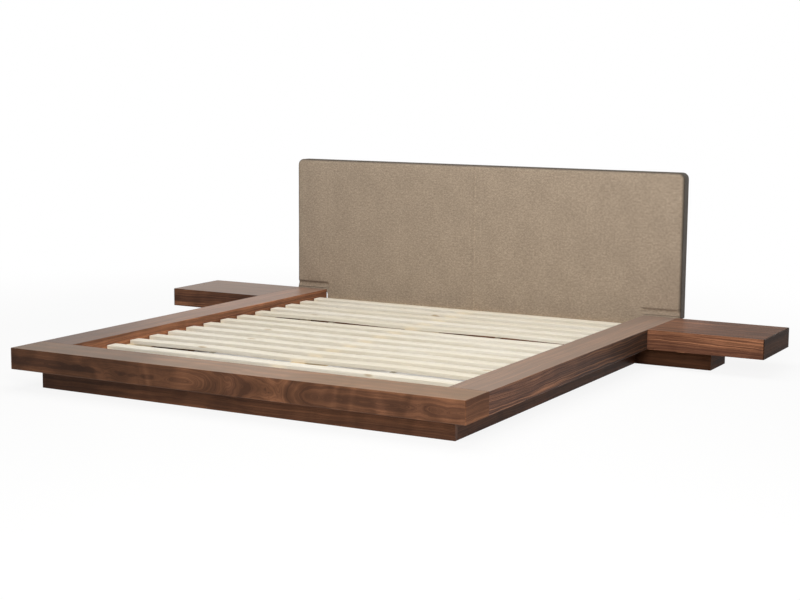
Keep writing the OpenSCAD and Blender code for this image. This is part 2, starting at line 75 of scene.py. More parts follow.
# Leaves of walnut veneer: the directions along and across the grain, and how each leaf differs from an
# average one. walnut() says what the values mean. Some of them paint light and shade: a painted sheen on
# level faces, painted shade towards one end of some leaves, and low tones as painted shade on the end
# caps and on the nightstands' plinths.
FOOT_LOW, FOOT_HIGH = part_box("foot_rail")
LEAVES = {
    "foot_rail": dict(
        along=ACROSS, across=OVER_FRONT, seed=4.0, lines=0.42, cloud=0.3, tone=0.9, haze=0.4, painted_sheen=0.26,
        arches=FOOT_LOW.y + (FOOT_LOW.z + FOOT_HIGH.z) / 2, tint="foot_painted_sheen",
        painted_shade_falloff=dict(start=-0.28, stop=-0.5, upright=0.6, level=0.56)),
    "left_rail": dict(
        along=LENGTHWISE, across=OVER_LEFT, seed=7.0, lines=0.8, cloud=0.1, tone=2.15, haze=0.2, painted_sheen=0.38,
        painted_shade_falloff=dict(start=0.3, stop=-1.0, upright=0.9, level=0.45)),
    "right_rail": dict(
        along=LENGTHWISE, across=OVER_RIGHT, seed=9.0, lines=1.3, cloud=0.1, tone=1.85, haze=0.22,
        painted_sheen=0.6, gloss=0.4, painted_shade_falloff=dict(start=-1.0, stop=0.6, upright=0.28, level=1.0)),
    "left_ledge": dict(
        along=ACROSS, across=OVER_FRONT, seed=12.0, cloud=0.15, tone=1.1, haze=0.35, painted_sheen=0.4),
    "right_ledge": dict(
        along=ACROSS, across=OVER_FRONT, seed=15.0, lines=1.1, cloud=0.15, tone=2.05, painted_sheen=0.15, gloss=0.1,
        painted_shade_falloff=dict(start=1.10, stop=1.45, upright=1.0, level=0.6)),
    "foot_caps": dict(along=LENGTHWISE, across=UP, seed=18.0, lines=0.5, cloud=0.1, tone=1.1, gloss=0.2),
    # Painted shade: the end caps' tone is set far below the other leaves', for end faces turned away from
    # the light
    "end_caps": dict(along=LENGTHWISE, across=UP, seed=19.0, lines=0.5, cloud=0.1, tone=0.3, gloss=0.1),
    "plinth_across": dict(
        along=ACROSS, across=OVER_FRONT, seed=21.0, lines=0.5, cloud=0.15, tone=1.02,
        painted_shade_falloff=dict(start=-0.35, stop=-0.95, upright=0.6, level=1.0)),
    "plinth_lengthwise": dict(
        along=LENGTHWISE, across=OVER_LEFT, seed=24.0, lines=0.5, cloud=0.15, tone=0.8, gloss=0.4),
    # Painted shade: the nightstands' plinths take these leaves, whose low tones stand in for the shadow
    # under the nightstands' overhang
    "dark_across": dict(
        along=ACROSS, across=OVER_FRONT, seed=27.0, lines=0.5, cloud=0.15, tone=0.5, gloss=0.1),
    "dark_lengthwise": dict(
        along=LENGTHWISE, across=OVER_LEFT, seed=30.0, lines=0.5, cloud=0.15, tone=0.45, gloss=0.1),
}

# The leaf that each case and cap is covered with
CASE_LEAVES = {
    "foot_rail": "foot_rail", "foot_rail_caps": "foot_caps",
    "side_rail_left": "left_rail", "side_rail_right": "right_rail", "side_rail_caps": "end_caps",
    "nightstand_left": "left_ledge", "nightstand_right": "right_ledge", "nightstand_caps": "end_caps",
}

# The axis that the grain follows in each member of softwood
TIMBER_GRAIN = {
    "head_rail": "x", "side_cleat_left": "y", "side_cleat_right": "y", "centre_beam": "y",
    "plinth_corner_blocks": "z", "rail_ribs": "z", "headboard_top_rail": "x", "headboard_bottom_rail": "x",
    "headboard_posts": "z", "headboard_wing_stiles": "z", "headboard_wing_rails": "x",
    "headboard_front_board": "x",
}

# Patterns in wood: how many of their spots fit in a metre along the board, across it and through it
DRIFT_SPOTS = (1.1, 2.2, 1.0)
RIPPLE_SPOTS = (8.0, 24.0, 1.0)
CLOUD_SPOTS = (6.5, 5.0, 1.0)
HEART_SPOTS = (8.0, 8.0, 1.0)
WHITEWOOD_FIBRE = (7.0, 700.0, 1.0)
WHITEWOOD_TONE = (0.5, 7.5, 1.0)
KNOT_SPOTS = (3.1, 9.0, 1.0)

# The same for the weave: its mottle, its thick yarns and the broad change of tone
MOTTLE_SPOTS = (95.0, 110.0, 1.0)
SLUB_SPOTS = (34.0, 240.0, 1.0)
BROAD_SPOTS = (9.0, 7.0, 1.0)

# Rib and yarn spacing of the slats' tape
TAPE_RIB = 0.003
TAPE_YARN = 0.0025

# How far each slat is bowed, from the foot to the head, as a share of the bow in the settings
SLAT_BOWS = (-0.4, 0.2, 1.1, 0.5, 0.5, 0.4, 0.1, 0.3, -0.4, 1.1, 0.2, 0.0, 0.4, 0.1)
SLAT_POINTS = 49

# Cut of a screw's cross: length and width of an arm, and its height, half of which lies above the head
CROSS_LONG = 0.0052
CROSS_WIDE = 0.0012
CROSS_HIGH = 0.0024

# Height of the moulded pad under a levelling foot
PAD_HEIGHT = 0.010

# Steps in a corner of the headboard's outline, and from its front edge along the wall to the margin behind
CORNER_STEPS = 8
ROLL_STEPS = 7
WALL_STEPS = 7
REAR_STEPS = 3
MARGIN_STEPS = 3

# The length over which the roll of an edge changes, the least roll, and the radii of the outline's corners
ROLL_CHANGE = 0.03
LEAST_ROLL = 0.0015
TOP_CORNER = 0.032
FOOT_CORNER = 0.020

# How far the headboard's frame lies inside the cover's outline
FRAME_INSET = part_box("headboard_cover")[1].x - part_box("headboard_wing_rails")[1].x

# Closer grid lines in the cover's front, as the step between them and how many lie on each side of a place
SEAM_LINES = (0.0012, 5)
NOTCH_LINES = (0.004, 5)
BORDER_LINES = (0.0025, 5)
HEM_LINES = (0.0015, 2)

# Lamps: the place of each, the point that it faces and the length of its side
LAMPS = {
    "key_panel": ((2.6, -4.4, 2.4), (0.3, 0.6, 0.5), 2.0),
    "top_panel": ((0.0, 0.0, 4.0), (0.0, 0.0, 0.0), 3.5),
    "back_panel": ((2.4, 4.6, 0.7), (0.0, 1.2, 0.45), 1.2),
}

# Camera: its place in metres, its turns in radians, its sensor in millimetres and how far it sees
CAMERA_PLACE = (3.662143, -6.370236, 1.374963)
CAMERA_YAW = 0.5026769
CAMERA_PITCH = 0.1412941
CAMERA_ROLL = 0.0071103
CAMERA_SENSOR = 36
CAMERA_REACH = 200

WHITE = (1, 1, 1, 1)


def linear(code):
    """Linear RGBA of an sRGB hex colour."""
    levels = [int(code[i:i + 2], 16) / 255 for i in (1, 3, 5)]
    return tuple(c / 12.92 if c <= 0.04045 else ((c + 0.055) / 1.055) ** 2.4 for c in levels) + (1.0,)


# Settings


def colour(name, code, description):
    """A colour that a user may change, given as sRGB hex."""
    return FloatVectorProperty(name=name, description=description, subtype="COLOR", size=4, min=0, max=1,
                               default=linear(code))


def length(name, metres, description):
    """A size in metres that a user may change."""
    return FloatProperty(name=name, description=description, subtype="DISTANCE", unit="LENGTH",
                         precision=4, default=metres)


def amount(name, value, description):
    """A plain number that a user may change."""
    return FloatProperty(name=name, description=description, default=value)


class VeneerSettings(PropertyGroup):
    """Lacquered walnut veneer of the deck, nightstands and plinth"""

    light: colour("Light", "#84593f", "Pale early wood between the growth rings")
    middle: colour("Middle", "#5f3f2d", "Average colour of the heartwood")
    dark: colour("Dark", "#34201a", "Late wood and dark bands")
    # Painted reflection: level faces are blended towards this colour, for the bright surroundings seen at
    # low angles. It also tints the lacquer's sheen.
    painted_sheen: colour("Veil", "#a69486", "Haze of the rubbed lacquer at low angles")
    # The same painted reflection and sheen tint on the foot rail, in a yellower colour
    foot_painted_sheen: colour("Foot veil", "#c6a98d", "The same haze on the foot rail, whose leaf is yellower")
    ring: length("Ring width", 0.0062, "Distance between two dark lines of the grain")
    band: length("Band width", 0.035, "Width of the broad light and dark bands")
    fibre: length("Fibre width", 0.0022, "Width of the fine fibre streaks")
    pore: length("Pore width", 0.0008, "Width of a pore, drawn twice as wide as real to show")
    drift: length("Drift", 0.008, "Most that the grain strays from a straight line over a board")
    ripple: length("Ripple", 0.002, "Most that it strays within a hand's breadth")
    edge: length("Edge radius", 0.0008, "Radius that the lacquered edges are eased to")
    arch_start: length("Arches from", -0.16, "Place along the foot rail where the nested arches begin")
    arch_top: length("Arches to", 0.20, "Place along the foot rail where the widest arch begins")
    arch_flat: length("Arch flat", 0.06, "Length over which the widest arch stays as wide")
    arch_back: length("Arches back", 0.46, "Place along the rail where the arches of the next log end")
    arch_depth: length("Arch depth", 0.10, "Depth of the log's heart below the leaf at the widest arch")
    arch_rough: length("Arch roughness", 0.022, "Most that the heart lies deeper in places")
    gloss: amount("Gloss", 0.09, "Reflection of the satin lacquer")


class WhitewoodSettings(PropertyGroup):
    """Planed whitewood of the slats and sawn softwood of the hidden frame"""

    pale: colour("Pale", "#f0e9db", "Early wood of a slat")
    warm: colour("Warm", "#dcd1b9", "Late wood of a slat")
    knot: colour("Knot", "#a98a5e", "Small knots and stains")
    timber_pale: colour("Timber pale", "#e3d3b2", "Early wood of the hidden frame")
    timber_warm: colour("Timber warm", "#cdb184", "Late wood of the hidden frame")
    grain: length("Grain width", 0.005, "Width of a growth ring on the face of a slat")
    edge: length("Edge radius", 0.002, "Radius of a slat's long edges")
    bow: length("Bow", 0.004, "Most that a slat is bowed between its supports")
    sway: length("Sway", 0.0015, "Most that a slat is bowed sideways")


class UpholsterySettings(PropertyGroup):
    """Woven cover of the headboard, with its seam, border and stitches"""

    light: colour("Light yarn", "#baa893", "Weft yarn")
    dark: colour("Dark yarn", "#a08e7a", "Warp yarn")
    shade: colour("Ground", "#74675a", "Gaps between the yarns")
    # Painted shade: the cover's colour is darkened to this tone where it turns over the edges
    side: amount("Side tone", 0.2, "Tone of the cover where it turns over the edges")
    # Painted shade down to this tone in the pressed lines, and a painted highlight half as strong on the
    # seam's ridge
    fold: amount("Fold tone", 0.6, "Tone of the cover in the pressed lines over the rails")
    thread: colour("Thread", "#c9bda8", "Stitches of the hem")
    pitch: length("Yarn spacing", 0.0042, "Distance between two yarns of the coarse plain weave")
    roll: length("Edge roll", 0.015, "Radius of the roll round the front edges")
    low_roll: length("Low roll", 0.004, "Radius along the lower edges, where the cover is sewn")
    low_corner: length("Low corner", 0.005, "Radius of the wings' lower corners")
    hem_drop: length("Hem drop", 0.0095, "How far the hem hangs below the wings, behind the rails' ends")
    hem: length("Hem", 0.0135, "Height of the line of stitches above the hem")
    swell: length("Swell", 0.0035, "How far the padding swells past the frame at the sides")
    notch_corner: length("Notch corner", 0.022, "Radius of the fold where a wing meets the lower part")
    notch_fill: length("Notch fill", 0.0170, "How far the padding swells into the notch beside the rails")
    rear_roll: length("Rear roll", 0.004, "Radius where the cover turns onto the back")
    margin: length("Margin", 0.045, "Width of the cover's margin on the back")
    slack: length("Slack", 0.0007, "Most that the cover lies too deep or too high, in broad waves")
    pulls: length("Pulls", 0.0008, "The same for the small pulls along its edges")
    cloth: length("Cloth", 0.0015, "Thickness of the cover")
    crown: length("Crown", 0.0025, "How far the middle of each half stands proud of its edges")
    cell: length("Mesh cell", 0.0085, "Distance between two points of the cover's mesh")
    border: length("Border height", 0.045, "Height of the pressed border above the notches")
    border_depth: length("Border depth", 0.006, "Depth of the pressed border")
    seam_x: length("Seam offset", -0.018, "How far right of the middle the centre seam is sewn")
    seam_depth: length("Seam depth", 0.0018, "Depth of the centre seam")
    stitch: length("Stitch length", 0.008, "Length of a hem stitch")
    stitch_gap: length("Stitch gap", 0.006, "Gap between two hem stitches")
    thread_width: length("Thread width", 0.0018, "Thickness of the hem's thread")
    dust_cloth: length("Dust cloth", 0.0004, "Thickness of the dust cloth")
    sag: length("Sag", 0.007, "How far the dust cloth sags into an opening of the frame")
    crease: length("Crease", 0.0012, "Most that a crease stands out of the sagging cloth")
    pucker: length("Pucker", 0.0003, "Most that the cloth puckers between its staples")
    staple_inset: length("Staple inset", 0.008, "Distance of the staples from the dust cloth's edge")
    staple_sink: length("Staple sink", 0.0011, "How far the staples are driven below the back")


class HardwareSettings(PropertyGroup):
    """Zinc plated steel, staples and the levelling feet"""

    zinc: colour("Zinc", "#b9bcc0", "Zinc plated steel")
    wire: colour("Wire", "#c8c8c4", "Galvanised staples")
    pad: colour("Pad", "#232323", "Moulded pads of the levelling feet")
    screw_head: length("Screw head", 0.004, "Radius of a screw's pan head")
    head_height: length("Head height", 0.002, "Height of a screw's pan head")
    shank: length("Shank", 0.002, "Radius of a screw's shank")
    staple: length("Staple crown", 0.011, "Length of a staple's crown")
    staple_wire: length("Staple wire", 0.0009, "Thickness of the staple wire")
    staple_step: length("Staple step", 0.055, "Distance between two staples round the dust cloth")


class StageSettings(PropertyGroup):
    """Floor, lamps and camera"""

    floor_size: length("Floor", 40.0, "Side of the floor")
    floor: colour("Floor", "#f2f1ef", "Colour of the floor")
    floor_glow: amount("Floor glow", 0.88, "Share of the floor's white that is its own beside the bed")
    glow_start: length("Glow from", 1.5, "Distance from the bed's middle within which that share holds")
    glow_full: length("Glow to", 4.5, "Distance beyond which all of the floor's white is its own")
    sky: amount("Sky", 0.12, "Strength of the even studio light")
    key: amount("Key", 180.0, "Power of the large lamp in front at the right, in watts")
    top: amount("Top", 120.0, "Power of the panel overhead, in watts")
    back: amount("Back", 60.0, "Power of the low panel behind the headboard, in watts")
    lens: amount("Lens", 71.731, "Focal length in millimetres on a 36 millimetre sensor")


class BedSettings(PropertyGroup):
    """All sizes and colours of the bed's finish"""

    veneer: PointerProperty(type=VeneerSettings)
    whitewood: PointerProperty(type=WhitewoodSettings)
    upholstery: PointerProperty(type=UpholsterySettings)
    hardware: PointerProperty(type=HardwareSettings)
    stage: PointerProperty(type=StageSettings)


def settings():
    """The scene's own settings."""
    return bpy.context.scene.bed_finish


# Nodes and materials


def add(tree, kind, inputs=None, **options):
    """Adds one node. Options are its settings, and inputs are values or sockets, by name or number."""
    made = tree.nodes.new(kind)
    for name, value in options.items():
        setattr(made, name, value)
    for key, value in (inputs or {}).items():
        if isinstance(value, bpy.types.NodeSocket):
            tree.links.new(value, made.inputs[key])
        else:
            made.inputs[key].default_value = value
    return made


def new_material(name):
    """An empty material with its tree, its output and its shader."""
    material = bpy.data.materials.new(name)
    material.use_nodes = True
    tree = material.node_tree
    tree.nodes.clear()
    shader = add(tree, "ShaderNodeBsdfPrincipled")
    add(tree, "ShaderNodeOutputMaterial", {"Surface": shader.outputs[0]})
    return material, tree, shader


def stretched_noise(tree, point, spots, detail, roughness=0.5, distortion=0.0):
    """Noise as its factor's socket. spots says how many of its spots fit in a metre along each axis."""
    placed = add(tree, "ShaderNodeMapping", {"Vector": point, "Scale": spots})
    made = add(tree, "ShaderNodeTexNoise", {"Vector": placed.outputs[0], "Scale": 1.0, "Detail": detail,
                                            "Roughness": roughness, "Distortion": distortion})
    return made.outputs[0]


def math_node(tree, operation, *values):
    """A math node's result."""
    return add(tree, "ShaderNodeMath", dict(enumerate(values)), operation=operation).outputs[0]


def times(tree, first, second):
    """The product of two numbers."""
    return math_node(tree, "MULTIPLY", first, second)


def ranged(tree, value, low, high, to_low=0.0, to_high=1.0):
    """A value moved from one range to another, smoothly."""
    return add(tree, "ShaderNodeMapRange", {"Value": value, "From Min": low, "From Max": high,
                                            "To Min": to_low, "To Max": to_high},
               interpolation_type="SMOOTHSTEP").outputs[0]


def spread(tree, made_noise, to_low, to_high):
    """Noise, nearly all of which lies between 0.3 and 0.7, moved to another range."""
    return ranged(tree, made_noise, 0.3, 0.7, to_low, to_high)


def blended(tree, factor, first, second, blend_type="MIX"):
    """One colour blended over another by a factor."""
    return add(tree, "ShaderNodeMix", {0: factor, 6: first, 7: second}, data_type="RGBA",
               blend_type=blend_type).outputs[2]


def shaded(tree, colour_socket, factor):
    """A colour made lighter or darker by a factor."""
    grey = add(tree, "ShaderNodeCombineColor", {0: factor, 1: factor, 2: factor}).outputs[0]
    return blended(tree, 1.0, colour_socket, grey, "MULTIPLY")


def dot(tree, point, direction):
    """How far a point lies along a direction."""
    return add(tree, "ShaderNodeVectorMath", {0: point, 1: direction},
               operation="DOT_PRODUCT").outputs["Value"]


def object_point(tree):
    """The place of a point on the bed, in metres, because every piece sits at the origin."""
    return add(tree, "ShaderNodeTexCoord").outputs["Object"]


def dress(tree, shader, body, height, distance, strength, values):
    """Gives a shader its colour, a bump as high as a distance, and the values that hold all over."""
    bump = add(tree, "ShaderNodeBump", {"Height": height, "Distance": distance, "Strength": strength})
    tree.links.new(body, shader.inputs["Base Color"])
    tree.links.new(bump.outputs[0], shader.inputs["Normal"])
    for name, value in values.items():
        shader.inputs[name].default_value = value


def walnut(name, along, across, seed, lines=1.0, cloud=0.35, tone=1.0, haze=0.0, painted_sheen=0.0, gloss=1.0,
           arches=None, painted_shade_falloff=None, tint="painted_sheen"):
    """Walnut veneer, sliced from a log, glued down and given a satin lacquer.

    along and across are the leaf's own directions. Across runs over a folded edge, so the grain turns the
    corner with the board. lines is the strength of the dark and pale lines, cloud that of the soft
    shading, tone the brightness of the wood, and seed the place in the log.

    Slicing far from the log's heart draws straight stripes, and near it nested arches. So the grain is
    laid along lines of equal distance to the heart, which lies deeper below the leaf at the widest arch.
    arches is where the heart crosses the leaf.

    The lacquer is open pored: fibres and pores show in its gloss. It has a sheen as strong as haze, in
    the colour that tint names. Level faces are also blended towards that colour, a painted reflection of
    the bright surroundings at low angles, which veils the figure a little. Painted shade may darken a leaf
    towards one end, where less light falls: the falloff holds where that starts and stops along the leaf,
    and the tone there of its upright and its level faces.
    """
    own = settings().veneer
    light, middle, dark = tuple(own.light), tuple(own.middle), tuple(own.dark)
    tint = tuple(getattr(own, tint))
    material, tree, shader = new_material(name)
    point = object_point(tree)
    u = dot(tree, point, along)
    v = dot(tree, point, across)
    leaf = add(tree, "ShaderNodeCombineXYZ", {0: u, 1: v, 2: seed}).outputs[0]

    drift = spread(tree, stretched_noise(tree, leaf, DRIFT_SPOTS, 2.0), -own.drift, own.drift)
    ripple = spread(tree, stretched_noise(tree, leaf, RIPPLE_SPOTS, 2.0), -own.ripple, own.ripple)
    line = math_node(tree, "ADD", v, math_node(tree, "ADD", drift, ripple))
    if arches is not None:
        line = arched(tree, own, u, line, leaf, arches)
    grain = add(tree, "ShaderNodeCombineXYZ", {0: u, 1: line, 2: seed}).outputs[0]

    stripe = stretched_noise(tree, grain, (0.9, 1 / own.ring, 1.0), 2.0, 0.6)
    band = stretched_noise(tree, grain, (0.7, 1 / own.band, 1.0), 2.0)
    fibre = stretched_noise(tree, grain, (5.0, 1 / own.fibre, 1.0), 2.0, 0.6)
    pore = stretched_noise(tree, grain, (70.0, 0.9 / own.pore, 1.0), 1.0)
    clouds = stretched_noise(tree, leaf, CLOUD_SPOTS, 1.5, 0.5, 1.2)

    # Broad bands, then dark and pale stripes, then the thin dark line of late wood between them
    body = blended(tree, ranged(tree, band, 0.36, 0.66), middle, light)
    body = blended(tree, ranged(tree, stripe, 0.5, 0.68, 0.0, 0.6 * lines), body, dark)
    body = blended(tree, ranged(tree, stripe, 0.44, 0.3, 0.0, 0.5 * lines), body, light)
    late = math_node(tree, "ABSOLUTE", math_node(tree, "SUBTRACT", stripe, 0.5))
    body = blended(tree, ranged(tree, late, 0.02, 0.09, 0.75 * lines, 0.0), body, dark)
    streaks = spread(tree, fibre, 0.86 * tone, 1.14 * tone)
    body = shaded(tree, body, times(tree, streaks, spread(tree, clouds, 1 - cloud, 1 + cloud)))
    pores = ranged(tree, pore, 0.6, 0.7, 0.0, 0.5)
    body = blended(tree, pores, body, dark)

    normal = add(tree, "ShaderNodeTexCoord").outputs["Normal"]
    level = ranged(tree, dot(tree, normal, UP), 0.6, 0.95)
    # Painted reflection: level faces are blended towards the sheen colour, for bright surroundings at low
    # angles
    body = blended(tree, times(tree, level, painted_sheen), body, tint)
    # Painted shade: the leaf darkens towards one end, where less light falls
    if painted_shade_falloff is not None:
        darker = ranged(tree, level, 0.0, 1.0, painted_shade_falloff["upright"], painted_shade_falloff["level"])
        body = shaded(tree, body, ranged(tree, u, painted_shade_falloff["start"], painted_shade_falloff["stop"], 1.0, darker))

    height = math_node(tree, "SUBTRACT", times(tree, fibre, 0.4), pores)
    dress(tree, shader, body, height, 0.0002, 0.25, {
        "IOR": 1.5, "Specular IOR Level": own.gloss * gloss, "Sheen Weight": haze, "Sheen Roughness": 0.35,
        "Sheen Tint": tint})
    tree.links.new(spread(tree, fibre, 0.36, 0.46), shader.inputs["Roughness"])
    return material


def arched(tree, own, u, line, leaf, centre):
    """Distance from the log's heart. Lines of equal distance are arches where its depth changes."""
    rise = ranged(tree, u, own.arch_start, own.arch_top)
    fall = ranged(tree, u, own.arch_top + own.arch_flat, own.arch_back, 1.0, 0.0)
    hill = times(tree, times(tree, rise, fall), own.arch_depth)
    rough = spread(tree, stretched_noise(tree, leaf, HEART_SPOTS, 2.0), 0.0, own.arch_rough)
    depth = math_node(tree, "ADD", hill, rough)
    side = math_node(tree, "SUBTRACT", line, centre)
    squares = math_node(tree, "ADD", times(tree, side, side), times(tree, depth, depth))
    return math_node(tree, "SQRT", squares)


def veneer_leaf(name):
    """The material of one leaf of veneer, made when it is first asked for."""
    full_name = "walnut_veneer_" + name
    return bpy.data.materials.get(full_name) or walnut(full_name, **LEAVES[name])


def softwood(name, along, across, pale, warm, seed):
    """Softwood, such as spruce, left raw: faint growth lines, a few small knots and a matt face."""
    own = settings().whitewood
    material, tree, shader = new_material(name)
    point = object_point(tree)
    u = dot(tree, point, along)
    v = dot(tree, point, across)
    board = add(tree, "ShaderNodeCombineXYZ", {0: u, 1: v, 2: seed}).outputs[0]

    grow = stretched_noise(tree, board, (1.4, 0.25 / own.grain, 1.0), 3.0, 0.55, 0.4)
    lines = math_node(tree, "PINGPONG", times(tree, grow, 6.0), 0.5)
    fibre = stretched_noise(tree, board, WHITEWOOD_FIBRE, 2.0)
    tone = stretched_noise(tree, board, WHITEWOOD_TONE, 1.0)
    body = blended(tree, ranged(tree, lines, 0.1, 0.5, 0.0, 0.55), tuple(pale), tuple(warm))
    body = blended(tree, ranged(tree, tone, 0.35, 0.7, 0.0, 0.5), body, tuple(warm))
    body = blended(tree, ranged(tree, fibre, 0.45, 0.8, 0.0, 0.25), body, tuple(warm))

    placed = add(tree, "ShaderNodeMapping", {"Vector": board, "Scale": KNOT_SPOTS}).outputs[0]
    spot = add(tree, "ShaderNodeTexVoronoi", {"Vector": placed, "Scale": 1.0, "Randomness": 1.0})
    knots = ranged(tree, spot.outputs["Distance"], 0.05, 0.11, 0.75, 0.0)
    body = blended(tree, knots, body, tuple(own.knot))
    dress(tree, shader, body, fibre, 0.0003, 0.3, {"Roughness": 0.62, "IOR": 1.45})
    return material


def woven_cover():
    """Coarse plain weave of slubby wool and linen yarns, matt, with a mottle of thick and thin places."""
    own = settings().upholstery
    material, tree, shader = new_material("coarse_wool_weave")
    cloth = add(tree, "ShaderNodeAttribute", attribute_name="cloth").outputs["Vector"]
    turned = add(tree, "ShaderNodeAttribute", attribute_name="turned").outputs["Fac"]
    folded = add(tree, "ShaderNodeAttribute", attribute_name="folded").outputs["Fac"]

    # The yarns wander by up to half their spacing
    slub = add(tree, "ShaderNodeTexNoise", {"Vector": cloth, "Scale": 0.33 / own.pitch, "Detail": 2.0})
    shift = add(tree, "ShaderNodeVectorMath", {0: slub.outputs["Color"], 1: (0.5, 0.5, 0.5)},
                operation="SUBTRACT").outputs[0]
    shift = add(tree, "ShaderNodeVectorMath", {0: shift, "Scale": own.pitch * 0.9}, operation="SCALE")
    place = add(tree, "ShaderNodeVectorMath", {0: cloth, 1: shift.outputs[0]}, operation="ADD").outputs[0]
    turn = math.pi / own.pitch
    warp = math_node(tree, "SINE", dot(tree, place, (turn, 0, 0)))
    weft = math_node(tree, "SINE", dot(tree, place, (0, turn, 0)))
    crossing = times(tree, warp, weft)
    height = math_node(tree, "POWER", math_node(tree, "ABSOLUTE", crossing), 0.6)
    body = blended(tree, ranged(tree, crossing, -0.4, 0.4), tuple(own.dark), tuple(own.light))
    body = blended(tree, ranged(tree, height, 0.05, 0.5, 0.75, 0.0), body, tuple(own.shade))

    mottle = stretched_noise(tree, cloth, MOTTLE_SPOTS, 3.0, 0.65)
    slubs = stretched_noise(tree, cloth, SLUB_SPOTS, 1.0)
    broad = stretched_noise(tree, cloth, BROAD_SPOTS, 2.0)
    grey = times(tree, spread(tree, mottle, 0.82, 1.18), spread(tree, broad, 0.96, 1.04))
    grey = times(tree, grey, spread(tree, slubs, 0.93, 1.07))
    # Painted shade: the cover darkens to the side tone where it turns over the edges
    grey = times(tree, grey, ranged(tree, turned, 0.0, 0.8, 1.0, own.side))
    # Painted shade in the pressed lines and left of the seam, and a painted highlight on the seam's ridge
    grey = times(tree, grey, ranged(tree, folded, -0.5, 1.0, 1.5 - 0.5 * own.fold, own.fold))
    body = shaded(tree, body, grey)
    relief = math_node(tree, "ADD", height, times(tree, mottle, 0.8))
    dress(tree, shader, body, relief, 0.0009, 0.7, {
        "Roughness": 0.95, "Specular IOR Level": 0.2, "Sheen Weight": 0.08, "Sheen Roughness": 0.6})
    return material


def spun_cloth(name, base, size):
    """Matt fibres, spun and pressed together in a pattern of small points, size apart."""
    material, tree, shader = new_material(name)
    point = object_point(tree)
    cells = add(tree, "ShaderNodeTexVoronoi", {"Vector": point, "Scale": 1 / size, "Randomness": 0.15})
    cells = cells.outputs["Distance"]
    hair = stretched_noise(tree, point, (1 / size, 1 / size, 1 / size), 4.0, 0.7)
    level = times(tree, ranged(tree, cells, 0.1, 0.4, 0.7, 1.1), spread(tree, hair, 0.8, 1.3))
    dress(tree, shader, shaded(tree, base, level), cells, 0.0003, 0.6, {"Roughness": 0.85})
    return material


def webbing():
    """Narrow polyester tape, woven in ribs across its width."""
    material, tree, shader = new_material("woven_polyester_tape")
    point = object_point(tree)
    rib = math_node(tree, "SINE", dot(tree, point, (0, 2 * math.pi / TAPE_RIB, 0)))
    yarn = math_node(tree, "SINE", dot(tree, point, (2 * math.pi / TAPE_YARN, 0, 0)))
    level = ranged(tree, times(tree, rib, yarn), -0.6, 0.6)
    body = blended(tree, level, linear("#b9b1a0"), linear("#e2dccb"))
    dress(tree, shader, body, level, 0.0004, 0.5, {"Roughness": 0.8})
    return material


def zinc_steel(name, base, roughness=0.38):
    """Cold rolled steel with a bright zinc plating: cool grey, with a faint cloudy bloom."""
    material, tree, shader = new_material(name)
    point = object_point(tree)
    bloom = stretched_noise(tree, point, (60.0, 60.0, 60.0), 3.0, 0.6)
    fine = stretched_noise(tree, point, (900.0, 900.0, 900.0), 1.0)
    body = blended(tree, spread(tree, bloom, 0.0, 0.35), tuple(base), linear("#8f949c"))
    dress(tree, shader, body, fine, 0.00005, 0.3, {"Metallic": 1.0})
    tree.links.new(spread(tree, bloom, roughness - 0.08, roughness + 0.1), shader.inputs["Roughness"])
    return material


def moulded_plastic(name, base):
    """Injection moulded polyamide with the fine grain of a spark eroded tool."""
    material, tree, shader = new_material(name)
    grain = stretched_noise(tree, object_point(tree), (1500.0, 1500.0, 1500.0), 2.0)
    body = blended(tree, ranged(tree, grain, 0.4, 0.6, 0.0, 0.3), tuple(base), linear("#3a3a3a"))
    dress(tree, shader, body, grain, 0.0001, 0.4, {"Roughness": 0.5})
    return material


def open_foam():
    """Open cell polyurethane foam, cut from a block: pale yellow and matt, with pores 2 mm apart."""
    material, tree, shader = new_material("cut_polyurethane_foam")
    cells = add(tree, "ShaderNodeTexVoronoi", {"Vector": object_point(tree), "Scale": 500.0})
    level = ranged(tree, cells.outputs["Distance"], 0.1, 0.6)
    body = blended(tree, level, linear("#c9ba8a"), linear("#efe4bf"))
    dress(tree, shader, body, level, 0.0005, 0.7, {"Roughness": 0.95})
    return material


# Pieces


def finish_node(name, *materials):
    """Gives a CAD node its material in place of the plain one it came with."""
    node = NODES[name]
    node.data.materials.clear()
    for material in materials:
        node.data.materials.append(material)
    return node


def ease_edges(name, radius):
    """Rounds a CAD node's sharp edges without touching its mesh: the loose triangles are welded first."""
    node = NODES[name]
    weld = node.modifiers.new("weld", "WELD")
    weld.merge_threshold = WELD
    bevel = node.modifiers.new("eased edges", "BEVEL")
    bevel.width = radius
    bevel.segments = 2
    bevel.limit_method = "ANGLE"
    bevel.angle_limit = math.radians(30)
    bevel.harden_normals = False


def new_piece(name, mesh, replaced=(), body=FRAME_BODY):
    """Links a finished mesh as a piece that rides on a body and stands for CAD nodes."""
    piece = bpy.data.objects.new(name, mesh)
    bpy.context.scene.collection.objects.link(piece)
    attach(piece, body)
    if replaced:
        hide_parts(*replaced)
    return piece


def islands(mesh):
    """Corners of each separate solid in a CAD node's mesh, as arrays of points."""
    work = bmesh.new()
    work.from_mesh(mesh)
    bmesh.ops.remove_doubles(work, verts=work.verts, dist=WELD)
    seen = set()
    found = []
    for start in work.verts:
        if start in seen:
            continue
        seen.add(start)
        stack = [start]
        group = []
        while stack:
            vert = stack.pop()
            group.append(vert.co[:])
            for edge in vert.link_edges:
                other = edge.other_vert(vert)
                if other not in seen:
                    seen.add(other)
                    stack.append(other)
        found.append(np.array(group))
    work.free()
    return found


# Geometry Nodes


